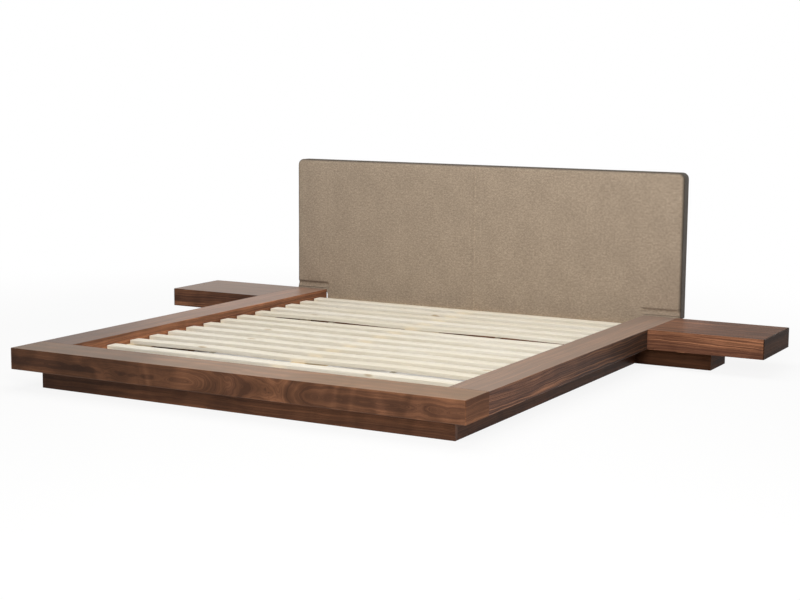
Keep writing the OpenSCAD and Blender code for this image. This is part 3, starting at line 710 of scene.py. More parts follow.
def new_geometry_tree(name, sockets):
    """A Geometry Nodes tree, its inputs and its end node. sockets says the type of each input."""
    tree = bpy.data.node_groups.new(name, "GeometryNodeTree")
    tree.interface.new_socket("Geometry", in_out="INPUT", socket_type="NodeSocketGeometry")
    for label, kind in sockets.items():
        tree.interface.new_socket(label, in_out="INPUT", socket_type="NodeSocket" + kind)
    tree.interface.new_socket("Geometry", in_out="OUTPUT", socket_type="NodeSocketGeometry")
    given = add(tree, "NodeGroupInput").outputs
    end = add(tree, "NodeGroupOutput")
    return tree, given, end


def along_axes(tree, values):
    """A vector whose parts are the values, numbered as the axes are."""
    return add(tree, "ShaderNodeCombineXYZ", values).outputs[0]


def straight_line(tree, start, stop, count):
    """A straight line of a number of points."""
    line = add(tree, "GeometryNodeCurvePrimitiveLine", {"Start": start, "End": stop})
    return add(tree, "GeometryNodeResampleCurve", {"Curve": line.outputs[0], "Count": count}).outputs[0]


def swept_line(tree, line, offset, section):
    """A line whose points are moved by an offset, with a section swept along it."""
    bent = add(tree, "GeometryNodeSetPosition", {"Geometry": line, "Offset": offset})
    return add(tree, "GeometryNodeCurveToMesh", {
        "Curve": bent.outputs[0], "Profile Curve": section, "Fill Caps": True}).outputs[0]


def finish_tree(tree, given, end, geometry):
    """Ends a tree: instances are made real, and the mesh gets its material."""
    real = add(tree, "GeometryNodeRealizeInstances", {0: geometry})
    done = add(tree, "GeometryNodeSetMaterial", {
        "Geometry": real.outputs[0], "Material": given["Material"]})
    tree.links.new(done.outputs[0], end.inputs[0])
    return tree


def lay_at_points(tree, given, end, thing, facing, least, most):
    """Lays a thing at each point, turned askew by some angle between two limits, and ends the tree."""
    turn = add(tree, "FunctionNodeRandomValue", {2: least, 3: most, "Seed": given["Seed"]},
               data_type="FLOAT").outputs[1]
    askew = add(tree, "FunctionNodeAxisAngleToRotation", {"Axis": UP, "Angle": turn}).outputs[0]
    turned = add(tree, "FunctionNodeRotateRotation", {"Rotation": facing, "Rotate By": askew},
                 rotation_space="LOCAL")
    laid = add(tree, "GeometryNodeInstanceOnPoints", {
        "Points": given["Geometry"], "Instance": thing, "Rotation": turned.outputs[0]})
    return finish_tree(tree, given, end, laid.outputs[0])


def grown_mesh(name, tree, base, values):
    """Runs a Geometry Nodes tree on a base mesh and gives the result as a plain mesh."""
    host = bpy.data.objects.new(name + "_host", base)
    bpy.context.scene.collection.objects.link(host)
    modifier = host.modifiers.new(name, "NODES")
    modifier.node_group = tree
    for item in tree.interface.items_tree:
        if item.item_type == "SOCKET" and item.in_out == "INPUT" and item.name in values:
            modifier[item.identifier] = values[item.name]
    bpy.context.view_layer.update()
    graph = bpy.context.evaluated_depsgraph_get()
    mesh = bpy.data.meshes.new_from_object(host.evaluated_get(graph), depsgraph=graph)
    mesh.name = name
    host.modifiers.clear()
    bpy.data.objects.remove(host)
    return mesh


def slat_tree():
    """One slat: a rounded section swept along a line that bows a little between its supports."""
    tree, given, end = new_geometry_tree("slat board", {
        "Start": "Vector", "End": "Vector", "Width": "Float", "Thickness": "Float", "Edge": "Float",
        "Bow": "Float", "Sway": "Float", "Seed": "Int", "Material": "Material"})
    line = straight_line(tree, given["Start"], given["End"], SLAT_POINTS)
    share = add(tree, "GeometryNodeSplineParameter").outputs["Factor"]
    wave = math_node(tree, "SINE", times(tree, share, 2 * math.pi))
    least = times(tree, given["Sway"], -1.0)
    sway = add(tree, "FunctionNodeRandomValue", {
        2: least, 3: given["Sway"], "ID": given["Seed"], "Seed": 23}, data_type="FLOAT").outputs[1]
    upward = times(tree, times(tree, wave, wave), given["Bow"])
    shift = along_axes(tree, {1: times(tree, wave, sway), 2: upward})
    section = add(tree, "GeometryNodeCurvePrimitiveQuadrilateral", {
        "Width": given["Width"], "Height": given["Thickness"]})
    eased = add(tree, "GeometryNodeFilletCurve", {
        "Curve": section.outputs[0], "Radius": given["Edge"], "Count": 4}, mode="POLY")
    return finish_tree(tree, given, end, swept_line(tree, line, shift, eased.outputs[0]))


def stitch_tree():
    """Stitches or staples: an arched thread at each point, along the direction that the point holds."""
    tree, given, end = new_geometry_tree("thread laid along a path", {
        "Out": "Vector", "Length": "Float", "Thickness": "Float", "Bend": "Float", "Wobble": "Float",
        "Seed": "Int", "Material": "Material"})
    half = times(tree, given["Length"], 0.5)
    start, stop = along_axes(tree, {0: times(tree, half, -1.0)}), along_axes(tree, {0: half})
    line = straight_line(tree, start, stop, 9)

    # Flat in the middle, and turned down steeply at both ends
    share = add(tree, "GeometryNodeSplineParameter").outputs["Factor"]
    side = math_node(tree, "MULTIPLY_ADD", share, 2.0, -1.0)
    dip = times(tree, times(tree, math_node(tree, "POWER", side, 6.0), given["Bend"]), -1.0)
    section = add(tree, "GeometryNodeCurvePrimitiveCircle", {
        "Resolution": 6, "Radius": times(tree, given["Thickness"], 0.5)})
    thread = swept_line(tree, line, along_axes(tree, {2: dip}), section.outputs[0])

    along = add(tree, "GeometryNodeInputNamedAttribute", {"Name": "along"}, data_type="FLOAT_VECTOR")
    lying = add(tree, "FunctionNodeAlignRotationToVector", {"Vector": along.outputs[0]}, axis="X")
    facing = add(tree, "FunctionNodeAlignRotationToVector", {
        "Rotation": lying.outputs[0], "Vector": given["Out"]}, axis="Z", pivot_axis="X")
    least = times(tree, given["Wobble"], -1.0)
    return lay_at_points(tree, given, end, thread, facing.outputs[0], least, given["Wobble"])


def screw_tree():
    """Pan headed screws: one at each point, its head facing along the direction that the point holds."""
    tree, given, end = new_geometry_tree("cross recess screws", {
        "Head radius": "Float", "Head height": "Float", "Length": "Float", "Shank radius": "Float",
        "Seed": "Int", "Material": "Material"})
    down = times(tree, given["Head height"], -1.0)
    head = add(tree, "GeometryNodeMeshCone", {
        "Vertices": 24, "Side Segments": 1, "Fill Segments": 1, "Radius Bottom": given["Head radius"],
        "Radius Top": times(tree, given["Head radius"], 0.72), "Depth": given["Head height"]})
    head = add(tree, "GeometryNodeTransform", {
        "Geometry": head.outputs[0], "Translation": along_axes(tree, {2: down})})
    cross = add(tree, "GeometryNodeMeshBoolean", operation="UNION", solver="EXACT")
    for size in ((CROSS_WIDE, CROSS_LONG, CROSS_HIGH), (CROSS_LONG, CROSS_WIDE, CROSS_HIGH)):
        arm = add(tree, "GeometryNodeMeshCube", {"Size": size})
        tree.links.new(arm.outputs[0], cross.inputs[1])
    recessed = add(tree, "GeometryNodeMeshBoolean", {0: head.outputs[0], 1: cross.outputs[0]},
                   operation="DIFFERENCE", solver="EXACT")

    shank = add(tree, "GeometryNodeMeshCylinder", {
        "Vertices": 16, "Radius": given["Shank radius"], "Depth": given["Length"]})
    middle = math_node(tree, "ADD", times(tree, given["Length"], -0.5), down)
    shank = add(tree, "GeometryNodeTransform", {
        "Geometry": shank.outputs[0], "Translation": along_axes(tree, {2: middle})})
    whole = add(tree, "GeometryNodeJoinGeometry")
    tree.links.new(recessed.outputs[0], whole.inputs[0])
    tree.links.new(shank.outputs[0], whole.inputs[0])
    along = add(tree, "GeometryNodeInputNamedAttribute", {"Name": "along"}, data_type="FLOAT_VECTOR")
    facing = add(tree, "FunctionNodeAlignRotationToVector", {"Vector": along.outputs[0]}, axis="Z")
    return lay_at_points(tree, given, end, whole.outputs[0], facing.outputs[0], 0.0, math.pi)


def hold(mesh, name, values):
    """Keeps a number or a vector at each point of a mesh, for its material or a tree to read."""
    values = np.array(values, np.float32)
    kind, field = ("FLOAT", "value") if values.ndim == 1 else ("FLOAT_VECTOR", "vector")
    layer = mesh.attributes.new(name, kind, "POINT")
    layer.data.foreach_set(field, values.ravel())


def point_mesh(spots, along):
    """A mesh of loose points, each of which holds a direction."""
    mesh = bpy.data.meshes.new("spots")
    mesh.from_pydata([tuple(p) for p in spots], [], [])
    hold(mesh, "along", along)
    return mesh


def laid_along(name, spots, along, out, values):
    """Stitches or staples at the spots, as one plain mesh."""
    tree = bpy.data.node_groups.get("thread laid along a path") or stitch_tree()
    return grown_mesh(name, tree, point_mesh(spots, along), dict(values, Out=out))


def stapled(name, spots, along, out, wire_name, wobble, seed):
    """Wire staples at the spots, as a piece of galvanised steel."""
    own = settings().hardware
    mesh = laid_along(name, spots, along, out, {
        "Length": own.staple, "Thickness": own.staple_wire, "Bend": own.staple_wire * 1.2,
        "Wobble": wobble, "Seed": seed, "Material": zinc_steel(wire_name, own.wire, 0.3)})
    return new_piece(name, mesh)


# Stage


class BED_FINISH_OT_stage(Operator):
    """Floor, lamps, background and camera"""

    bl_idname = "bed_finish.stage"
    bl_label = "Set the stage"

    def execute(self, context):
        own = settings().stage
        scene = context.scene
        scene.view_settings.view_transform = "Standard"
        add_floor(own)
        add_world(own, scene)
        for name, power in (("key_panel", own.key), ("top_panel", own.top), ("back_panel", own.back)):
            add_lamp(name, power, *LAMPS[name])
        add_camera(own, scene)
        return {"FINISHED"}


def seen_directly(tree):
    """1 for rays that show the background: from the camera, in reflections and through glass."""
    path = add(tree, "ShaderNodeLightPath").outputs
    shown = math_node(tree, "MAXIMUM", path["Is Camera Ray"], path["Is Glossy Ray"])
    return math_node(tree, "MAXIMUM", shown, path["Is Transmission Ray"])


def add_floor(own):
    """Matt white studio floor. Seen directly it glows to white but keeps a light shadow of the bed.

    It doesn't glow inside the plinth, and its underside is clear, so that the bed can be seen from below.
    """
    half = own.floor_size / 2
    mesh = bpy.data.meshes.new("studio_floor")
    mesh.from_pydata([(-half, -half, 0), (half, -half, 0), (half, half, 0), (-half, half, 0)], [],
                     [(0, 1, 2, 3)])
    floor = bpy.data.objects.new("studio_floor", mesh)
    bpy.context.scene.collection.objects.link(floor)
    material, tree, shader = new_material("painted_studio_floor")
    shader.inputs["Base Color"].default_value = own.floor
    shader.inputs["Roughness"].default_value = 0.9
    shader.inputs["Specular IOR Level"].default_value = 0.0
    point = object_point(tree)
    reach = add(tree, "ShaderNodeVectorMath", {0: point}, operation="LENGTH").outputs["Value"]
    white = add(tree, "ShaderNodeEmission", {"Color": WHITE, "Strength": 1.0})
    place = add(tree, "ShaderNodeSeparateXYZ", {0: point}).outputs
    low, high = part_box("plinth_foot_panel")[0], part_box("plinth_head_panel")[1]
    aside = math_node(tree, "SUBTRACT", math_node(tree, "ABSOLUTE", place[0]), high.x)
    before = math_node(tree, "SUBTRACT", low.y, place[1])
    behind = math_node(tree, "SUBTRACT", place[1], high.y)
    outside = math_node(tree, "MAXIMUM", aside, math_node(tree, "MAXIMUM", before, behind))
    outside = math_node(tree, "GREATER_THAN", outside, 0.0)
    near = ranged(tree, reach, own.glow_start, own.glow_full, own.floor_glow, 1.0)
    share = times(tree, times(tree, near, outside), seen_directly(tree))
    mixed = add(tree, "ShaderNodeMixShader", {0: share, 1: shader.outputs[0], 2: white.outputs[0]})
    clear = add(tree, "ShaderNodeBsdfTransparent")
    underside = add(tree, "ShaderNodeNewGeometry").outputs["Backfacing"]
    mixed = add(tree, "ShaderNodeMixShader", {0: underside, 1: mixed.outputs[0], 2: clear.outputs[0]})
    tree.links.new(mixed.outputs[0], tree.nodes["Material Output"].inputs["Surface"])
    mesh.materials.append(material)


def add_world(own, scene):
    """Even studio light all round, seen as a white background."""
    world = bpy.data.worlds.new("studio")
    world.use_nodes = True
    tree = world.node_tree
    tree.nodes.clear()
    strength = ranged(tree, seen_directly(tree), 0.0, 1.0, own.sky, 1.0)
    light = add(tree, "ShaderNodeBackground", {"Color": WHITE, "Strength": strength})
    add(tree, "ShaderNodeOutputWorld", {"Surface": light.outputs[0]})
    scene.world = world


def add_lamp(name, power, place, target, size):
    """A square softbox aimed at a point."""
    lamp = bpy.data.lights.new(name, "AREA")
    lamp.energy = power
    lamp.size = size
    holder = bpy.data.objects.new(name, lamp)
    holder.location = place
    holder.rotation_euler = (Vector(target) - Vector(place)).to_track_quat("-Z", "Y").to_euler()
    bpy.context.scene.collection.objects.link(holder)


def add_camera(own, scene):
    """Camera in front at the right, a little above the headboard."""
    yaw, pitch = CAMERA_YAW, CAMERA_PITCH
    forward = Vector((-math.sin(yaw) * math.cos(pitch), math.cos(yaw) * math.cos(pitch), -math.sin(pitch)))
    right = Matrix.Rotation(-CAMERA_ROLL, 3, forward) @ Vector((math.cos(yaw), math.sin(yaw), 0))
    up = right.cross(forward)
    data = bpy.data.cameras.new("camera")
    data.lens = own.lens
    data.sensor_width = CAMERA_SENSOR
    data.clip_end = CAMERA_REACH
    camera = bpy.data.objects.new("camera", data)
    axes = Matrix((right, up, -forward)).transposed().to_4x4()
    camera.matrix_world = Matrix.Translation(CAMERA_PLACE) @ axes
    scene.collection.objects.link(camera)
    scene.camera = camera


# Deck, plinth and slats


class BED_FINISH_OT_cases(Operator):
    """Veneer on the foot rail, side rails and nightstands"""

    bl_idname = "bed_finish.cases"
    bl_label = "Veneer the cases"

    def execute(self, context):
        for name, leaf in CASE_LEAVES.items():
            finish_node(name, veneer_leaf(leaf))
            ease_edges(name, settings().veneer.edge)
        return {"FINISHED"}


class BED_FINISH_OT_plinth(Operator):
    """Veneer on the plinth panels"""

    bl_idname = "bed_finish.plinth"
    bl_label = "Veneer the plinth"

    def execute(self, context):
        for name in NODES:
            if name.startswith("nightstand_plinth"):
                # The nightstands' plinths get the low-toned leaves, as painted shade under the overhang
                wood = "dark_"
            elif name.startswith("plinth_") and name.endswith("_panel"):
                wood = "plinth_"
            else:
                continue
            low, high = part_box(name)
            run = "across" if high.x - low.x > high.y - low.y else "lengthwise"
            finish_node(name, veneer_leaf(wood + run))
            ease_edges(name, settings().veneer.edge)
        return {"FINISHED"}


class BED_FINISH_OT_slats(Operator):
    """Whitewood slats, each bowed a little, and the tapes that hold them"""

    bl_idname = "bed_finish.slats"
    bl_label = "Lay the slats"

    def execute(self, context):
        own = settings().whitewood
        wood = softwood("planed_whitewood", ACROSS, OVER_FRONT, own.pale, own.warm, 3.0)
        tree = slat_tree()
        names = sorted(n for n in NODES if n.startswith("slat_") and n[5:].isdigit())
        for number, name in enumerate(names):
            low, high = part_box(name)
            middle = (low + high) / 2
            board = name.replace("slat_", "slat_board_")
            mesh = grown_mesh(board, tree, bpy.data.meshes.new("empty"), {
                "Start": (low.x, middle.y, middle.z), "End": (high.x, middle.y, middle.z),
                "Width": high.y - low.y, "Thickness": high.z - low.z, "Edge": own.edge,
                "Bow": own.bow * SLAT_BOWS[number], "Sway": own.sway, "Seed": number, "Material": wood})
            new_piece(board, mesh, [name])
        finish_node("slat_tapes", webbing())
        self.staple_tapes(names)
        return {"FINISHED"}

    @staticmethod
    def staple_tapes(names):
        """Two staples through the tape under each slat, pointing up."""
        spots = []
        for tape in islands(NODES["slat_tapes"].data):
            low, high = tape.min(axis=0), tape.max(axis=0)
            middle = (low[0] + high[0]) / 2
            for name in names:
                slat_low, slat_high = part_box(name)
                if low[1] - 0.001 <= slat_low.y and slat_high.y <= high[1] + 0.001:
                    third = (slat_high.y - slat_low.y) / 3
                    spots += [(middle, slat_low.y + third * k, low[2] - 0.0002) for k in (1, 2)]
        along = [(1.0, 0.0, 0.0)] * len(spots)
        stapled("slat_tape_staples", spots, along, (0, 0, -1), "galvanised_tape_staples", 0.2, 3)


# Hidden frame and hardware


class BED_FINISH_OT_hidden_frame(Operator):
    """Softwood and board inside the bed and the headboard"""

    bl_idname = "bed_finish.hidden_frame"
    bl_label = "Finish the hidden frame"

    def execute(self, context):
        own = settings().whitewood
        colours = own.timber_pale, own.timber_warm
        wood = {
            "x": softwood("sawn_softwood_across", ACROSS, OVER_FRONT, *colours, 31.0),
            "y": softwood("sawn_softwood_lengthwise", LENGTHWISE, OVER_LEFT, *colours, 37.0),
            "z": softwood("sawn_softwood_upright", UP, (1, 1, 0), *colours, 41.0),
        }
        for name, axis in TIMBER_GRAIN.items():
            finish_node(name, wood[axis])
            ease_edges(name, own.edge / 2)
        return {"FINISHED"}


class BED_FINISH_OT_hardware(Operator):
    """Plates, angles, hangers, sockets, screws, bolts and levelling feet"""

    bl_idname = "bed_finish.hardware"
    bl_label = "Finish the hardware"

    def execute(self, context):
        own = settings().hardware
        steel = zinc_steel("zinc_plated_steel", own.zinc)
        plastic = moulded_plastic("moulded_polyamide", own.pad)
        for name in ("joint_plates", "head_rail_angles", "nightstand_plates", "beam_hangers",
                     "leg_sockets", "headboard_bolts"):
            finish_node(name, steel)
        self.drive_screws(own, steel)
        for name in [n for n in NODES if n.startswith("levelling_foot")]:
            foot = finish_node(name, plastic, steel)
            pad_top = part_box(name)[0].z + PAD_HEIGHT
            for face in foot.data.polygons:
                face.material_index = 0 if face.center.z < pad_top + 0.0001 else 1
        return {"FINISHED"}

    @staticmethod
    def drive_screws(own, steel):
        """Cross recess screws in the places of the model's plain ones, which are all of one length."""
        spots, along = [], []
        for corners in islands(NODES["steel_screws"].data):
            low, high = corners.min(axis=0), corners.max(axis=0)
            middle = (low + high) / 2
            axis = int(np.argmax(high - low))
            from_axis = np.linalg.norm(np.delete(corners - middle, axis, axis=1), axis=1)
            head = corners[from_axis > own.shank * 1.5]
            side = 1.0 if head[:, axis].mean() > middle[axis] else -1.0
            spot, direction = middle.copy(), np.zeros(3)
            spot[axis] = high[axis] if side > 0 else low[axis]
            direction[axis] = side
            spots.append(spot)
            along.append(direction)
        whole_length = float((high - low).max())
        mesh = grown_mesh("cross_recess_screws", screw_tree(), point_mesh(spots, along), {
            "Head radius": own.screw_head, "Head height": own.head_height, "Shank radius": own.shank,
            "Length": whole_length - own.head_height, "Seed": 2, "Material": steel})
        new_piece("cross_recess_screws", mesh, ["steel_screws"])


# Headboard


class BED_FINISH_OT_headboard(Operator):
    """Padded cover, foam and dust cloth of the headboard"""

    bl_idname = "bed_finish.headboard"
    bl_label = "Upholster the headboard"

    def execute(self, context):
        own = settings().upholstery
        low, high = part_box("headboard_cover")
        over_frame = high.y + own.cloth * 0.4
        mesh = padded_shell("headboard_woven_cover", own, 0.0, low.y, over_frame, own.margin)
        mesh.materials.append(woven_cover())
        cover = new_piece("headboard_woven_cover", mesh, ["headboard_cover"])
        thicken(cover, own.cloth)

        foam_low, foam_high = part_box("headboard_foam")
        mesh = padded_shell("headboard_foam_slab", own, foam_low.y - low.y, foam_low.y, foam_high.y)
        mesh.materials.append(open_foam())
        foam = new_piece("headboard_foam_slab", mesh, ["headboard_foam"])
        add_dust_cloth(own)
        add_hem_stitches(own)
        return {"FINISHED"}


def thicken(piece, thickness):
    """Gives a cloth its thickness, inwards from its outer face."""
    wall = piece.modifiers.new("cloth", "SOLIDIFY")
    wall.thickness = thickness
    wall.offset = -1


def headboard_corners(own, swell):
    """Corners of the headboard's outline: x, z, radius, whether hollow, and the roll of the next edge."""
    low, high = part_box("headboard_cover")
    notch_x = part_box("headboard_posts")[1].x + own.notch_fill
    wing_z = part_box("headboard_wing_rails")[0].z - FRAME_INSET - own.hem_drop
    half = high.x + swell
    right = [
        (notch_x, low.z, FOOT_CORNER, False, own.low_roll),
        (notch_x, wing_z, own.notch_corner, True, own.low_roll),
        (half, wing_z, own.low_corner, False, own.roll),
        (half, high.z, TOP_CORNER, False, own.roll),
    ]
    left = [
        (-half, high.z, TOP_CORNER, False, own.roll),
        (-half, wing_z, own.low_corner, False, own.low_roll),
        (-notch_x, wing_z, own.notch_corner, True, own.low_roll),
        (-notch_x, low.z, FOOT_CORNER, False, own.low_roll),
    ]
    return right + left


def smooth(value, low, high):
    """Smooth step from 0 to 1 between two limits, on numbers and arrays."""
    t = np.clip((value - low) / (high - low), 0, 1)
    return t * t * (3 - 2 * t)


def bell(distance, width):
    """1 at no distance, falling to 0 beside it. At the width it is down to about a third."""
    return np.exp(-(distance / width) ** 2)


def waves(across, up, layer):
    """Smooth noise between -1 and 1 at points of a plane. Each layer draws its own."""
    return np.array([noise.noise((a, b, layer)) for a, b in zip(across, up)])


def rounded_outline(corners, cell):
    """Points round an outline with their inward directions, and the roll of the edge that each lies on."""
    points, inward, rolls = [], [], []
    count = len(corners)
    for i, (x, z, radius, hollow, roll) in enumerate(corners):
        here = Vector((x, z))
        before = (here - Vector(corners[i - 1][:2])).normalized()
        after = (Vector(corners[(i + 1) % count][:2]) - here).normalized()
        normal_in = Vector((-before.y, before.x))
        normal_out = Vector((-after.y, after.x))
        sign = -1 if hollow else 1
        centre = here + sign * radius * (normal_in + normal_out)
        corner_roll = min(corners[i - 1][4], roll)
        for k in range(CORNER_STEPS + 1):
            turn = QUARTER * k / CORNER_STEPS
            normal = normal_in * math.cos(turn) + normal_out * math.sin(turn)
            points.append(centre - sign * radius * normal)
            inward.append(normal)
            rolls.append(corner_roll)
        following = corners[(i + 1) % count]
        start = points[-1]
        stop = Vector(following[:2]) - after * following[2]
        run = (stop - start).length
        pieces = max(1, round(run / cell))
        ends = corner_roll, min(roll, following[4])
        for k in range(1, pieces):
            points.append(start.lerp(stop, k / pieces))
            inward.append(normal_out)
            along = run * k / pieces
            near, far = smooth(along, 0.0, ROLL_CHANGE), smooth(run - along, 0.0, ROLL_CHANGE)
            rolls.append(roll - (roll - ends[0]) * (1 - near) - (roll - ends[1]) * (1 - far))
    return np.array([p[:] for p in points]), np.array([n[:] for n in inward]), np.array(rolls)


def spaced(low, high, step, dense):
    """Grid lines from low to high, closer round the places in dense, given as (place, step, count)."""
    lines = list(np.arange(low + step * 0.7, high - step * 0.5, step))
    for place, fine, count in dense:
        lines = [v for v in lines if abs(v - place) > fine * (count + 0.6)]
        lines += [place + fine * k for k in range(-count, count + 1)]
    return sorted(lines)


def filled(rim, cell, columns=(), rows=()):
    """Points and triangles that fill a closed rim, on a grid with closer lines where columns and rows say.

    The third result is where in the rim each point comes from. Points inside it have other numbers.
    """
    low, high = rim.min(axis=0), rim.max(axis=0)
    x = np.array(spaced(low[0], high[0], cell, columns))
    z = np.array(spaced(low[1], high[1], cell, rows))
    grid = np.stack(np.meshgrid(x, z), axis=-1).reshape(-1, 2)
    after = np.roll(rim, -1, axis=0)
    inside = np.zeros(len(grid), bool)
    clear = np.full(len(grid), np.inf)
    for a, b in zip(rim, after):
        crosses = (a[1] > grid[:, 1]) != (b[1] > grid[:, 1])
        level = np.where(crosses, grid[:, 1] - a[1], 0) / (b[1] - a[1] if b[1] != a[1] else 1)
        inside ^= crosses & (grid[:, 0] < a[0] + level * (b[0] - a[0]))
        clear = np.minimum(clear, np.hypot(*(grid - a).T))
    kept = grid[inside & (clear > cell * 0.55)]
    count = len(rim)
    plane = [Vector(p) for p in rim] + [Vector(p) for p in kept]
    loop = [(i, (i + 1) % count) for i in range(count)]
    made, _, triangles, origins, _, _ = delaunay_2d_cdt(plane, loop, [], 1, 1e-6)
    return np.array([p[:] for p in made]), triangles, [min(o) if o else -1 for o in origins]


def edge_distance(x, z, corners):
    """Distance of points from the headboard's outline, taken as square cornered."""
    half, notch_x = corners[2][0], corners[0][0]
    floor_z, wing_z, top = corners[0][1], corners[1][1], corners[3][1]
    wide = np.minimum.reduce([half - np.abs(x), z - wing_z, top - z])
    lower = np.minimum.reduce([notch_x - np.abs(x), z - floor_z, top - z])
    return np.maximum(np.maximum(wide, lower), 0)


def cover_relief(own, x, z, corners):
    """How far the front lies behind its foremost plane: crown, seam, pressed border and slight pulls."""
    notch_x, wing_z = corners[1][0], corners[1][1]
    edge = edge_distance(x, z, corners)
    crown = own.crown * (1 - smooth(edge, 0.0, 0.10))

    # The seam is a narrow furrow with a wide, shallow dip beside it
    off = x - own.seam_x
    seam = own.seam_depth * (bell(off, 0.0025) + 0.6 * bell(off, 0.016))

    # The border is a step down to the wing's lower edge, which comes forward again below it
    wing = smooth(np.abs(x), notch_x - 0.020, notch_x + 0.004)
    top = wing_z + own.border
    border = own.border_depth * wing * (1 - smooth(z, top - 0.007, top + 0.006))
    border *= 0.3 + 0.7 * smooth(z, wing_z + 0.008, top - 0.010)
    hem = own.seam_depth * wing * bell(z - wing_z - own.hem, 0.002)
    slack = own.slack * waves(x * 6, z * 8, 3.1)
    pulls = own.pulls * waves(x * 24, z * 24, 5.5) * np.exp(-edge / 0.035)
    return crown + seam + border + hem + slack + pulls + 0.001


def painted_crease_shade(own, x, z, corners):
    """1 in the lines where the cover of the wings is pressed and sewn, falling to 0 beside them.

    The value paints shade into the cover's colour: a painted shadow in these creases, weaker on the right
    wing than on the left one. Beside the centre seam, to its left, it paints a little shade, and below 0,
    on the seam's ridge, it paints a highlight.
    """
    notch_x, wing_z = corners[1][0], corners[1][1]
    wing = smooth(np.abs(x), notch_x - 0.012, notch_x + 0.004)
    border = np.where(x < 0, 0.8, 0.35) * bell(z - wing_z - own.border, 0.006)
    hem = bell(z - wing_z - own.hem, 0.002)
    off = x - own.seam_x
    seam = 0.15 * bell(off + 0.010, 0.006) - 0.2 * bell(off, 0.004)
    return wing * np.maximum(border, hem) + seam


def edge_rings(roll, front, back, rear, margin):
    """Rings of points round a padded form's edge, from the front's flat part to the rear.

    Each is how far it is drawn in from the outline, how far back it lies, and how far along the cloth it
    is from the front's flat part.
    """
    for k in range(ROLL_STEPS, -1, -1):
        turn = QUARTER * k / ROLL_STEPS
        yield roll * (1 - math.cos(turn)), front + roll * (1 - math.sin(turn)), roll * (QUARTER - turn)
    wall = back - rear - front - roll
    for k in range(1, WALL_STEPS + 1):
        done = wall * (k / WALL_STEPS)
        yield 0.0, front + roll + done, roll * QUARTER + done
    arc = roll * QUARTER + wall
    for k in range(1, REAR_STEPS + 1):
        turn = QUARTER * k / REAR_STEPS
        yield rear * (1 - math.cos(turn)), back - rear + rear * math.sin(turn), arc + rear * turn

    # The margin's inner part is drawn in by less than its width, so that its corners don't fold over
    if margin:
        for k in range(1, MARGIN_STEPS + 1):
            width = (margin - rear) * k / MARGIN_STEPS
            yield min(rear + width, 0.02 + 0.5 * width), back, arc + rear * QUARTER + width


def padded_shell(name, own, inset, front, back, margin=None):
    """Upholstered form of the headboard: relief front, rolled edges, walls, and the turn onto the back.

    With a margin it is an open shell whose cloth ends on the back, and without one it is closed there.
    Its points hold where they lie in the flat cloth, how far the cloth is turned there, and the painted
    shade and highlight of its pressed lines and seam.
    """
    corners = headboard_corners(own, own.swell)
    outline, inward, roll = rounded_outline(corners, own.cell)
    outline = outline + inward * inset
    roll = np.maximum(roll - inset, LEAST_ROLL)
    rear = own.rear_roll if margin else LEAST_ROLL
    count = len(outline)
    verts, cloth, turned, faces = [], [], [], []
    for drawn_in, depth, reach in edge_rings(roll, front, back, rear, margin):
        edge = outline + inward * np.reshape(drawn_in, (-1, 1))
        flat = outline + inward * (roll - reach)[:, None]
        verts.extend(zip(edge[:, 0], np.broadcast_to(depth, count), edge[:, 1]))
        cloth.extend(zip(flat[:, 0], flat[:, 1], np.zeros(count)))
        turned.extend(np.clip(reach / (roll * QUARTER), 0, 1))
    last = len(verts) - count
    for start in range(0, last, count):
        following = start + count
        for i in range(count):
            j = (i + 1) % count
            faces.append((start + i, start + j, following + j, following + i))
    if not margin:
        _, triangles, _ = filled(np.array([(x, z) for x, _, z in verts[last:]]), 1.0)
        faces.extend(tuple(last + i for i in t) for t in triangles)

    rim = outline + inward * roll[:, None]
    notch_x, wing_z = corners[1][0], corners[1][1]
    columns = [(own.seam_x, *SEAM_LINES), (notch_x, *NOTCH_LINES), (-notch_x, *NOTCH_LINES)]
    rows = [(wing_z + own.border, *BORDER_LINES), (wing_z + own.hem, *HEM_LINES)]
    made, triangles, origins = filled(rim, own.cell, columns, rows)
    index = []
    for (x, z), origin in zip(made, origins):
        if 0 <= origin < count:
            index.append(origin)
        else:
            index.append(len(verts))
            verts.append((x, front, z))
            cloth.append((x, z, 0.0))
            turned.append(0.0)
    faces.extend(tuple(index[i] for i in reversed(t)) for t in triangles)

    place = np.array(verts)
    behind = cover_relief(own, place[:, 0], place[:, 2], corners)
    place[:, 1] += behind * (1 - smooth(place[:, 1], front + 0.004, front + 0.032))
    mesh = bpy.data.meshes.new(name)
    mesh.from_pydata(place.tolist(), [], faces)
    hold(mesh, "cloth", cloth)
    hold(mesh, "turned", turned)
    folded = painted_crease_shade(own, place[:, 0], place[:, 2], corners)
    # Painted shade and highlight of the pressed lines and seam, on the front only
    hold(mesh, "folded", folded * (place[:, 1] < front + 0.02))
    work = bmesh.new()
    work.from_mesh(mesh)
    bmesh.ops.recalc_face_normals(work, faces=work.faces)
    work.to_mesh(mesh)
    work.free()
    shade_smooth(mesh)
    return mesh


def shade_smooth(mesh):
    """Shades all faces of a mesh as one smooth surface."""
    mesh.polygons.foreach_set("use_smooth", [True] * len(mesh.polygons))


def frame_distance(x, z):
    """Distance of points on the back from the nearest member of the headboard's frame, and 0 over one."""
    off = np.full(len(x), np.inf)
    for name in ("headboard_top_rail", "headboard_bottom_rail", "headboard_posts", "headboard_wing_stiles",
                 "headboard_wing_rails"):
        for corners in islands(NODES[name].data):
            low, high = corners.min(axis=0), corners.max(axis=0)
            aside = np.maximum(np.maximum(low[0] - x, x - high[0]), 0)
            above = np.maximum(np.maximum(low[2] - z, z - high[2]), 0)
            off = np.minimum(off, np.hypot(aside, above))
    return off


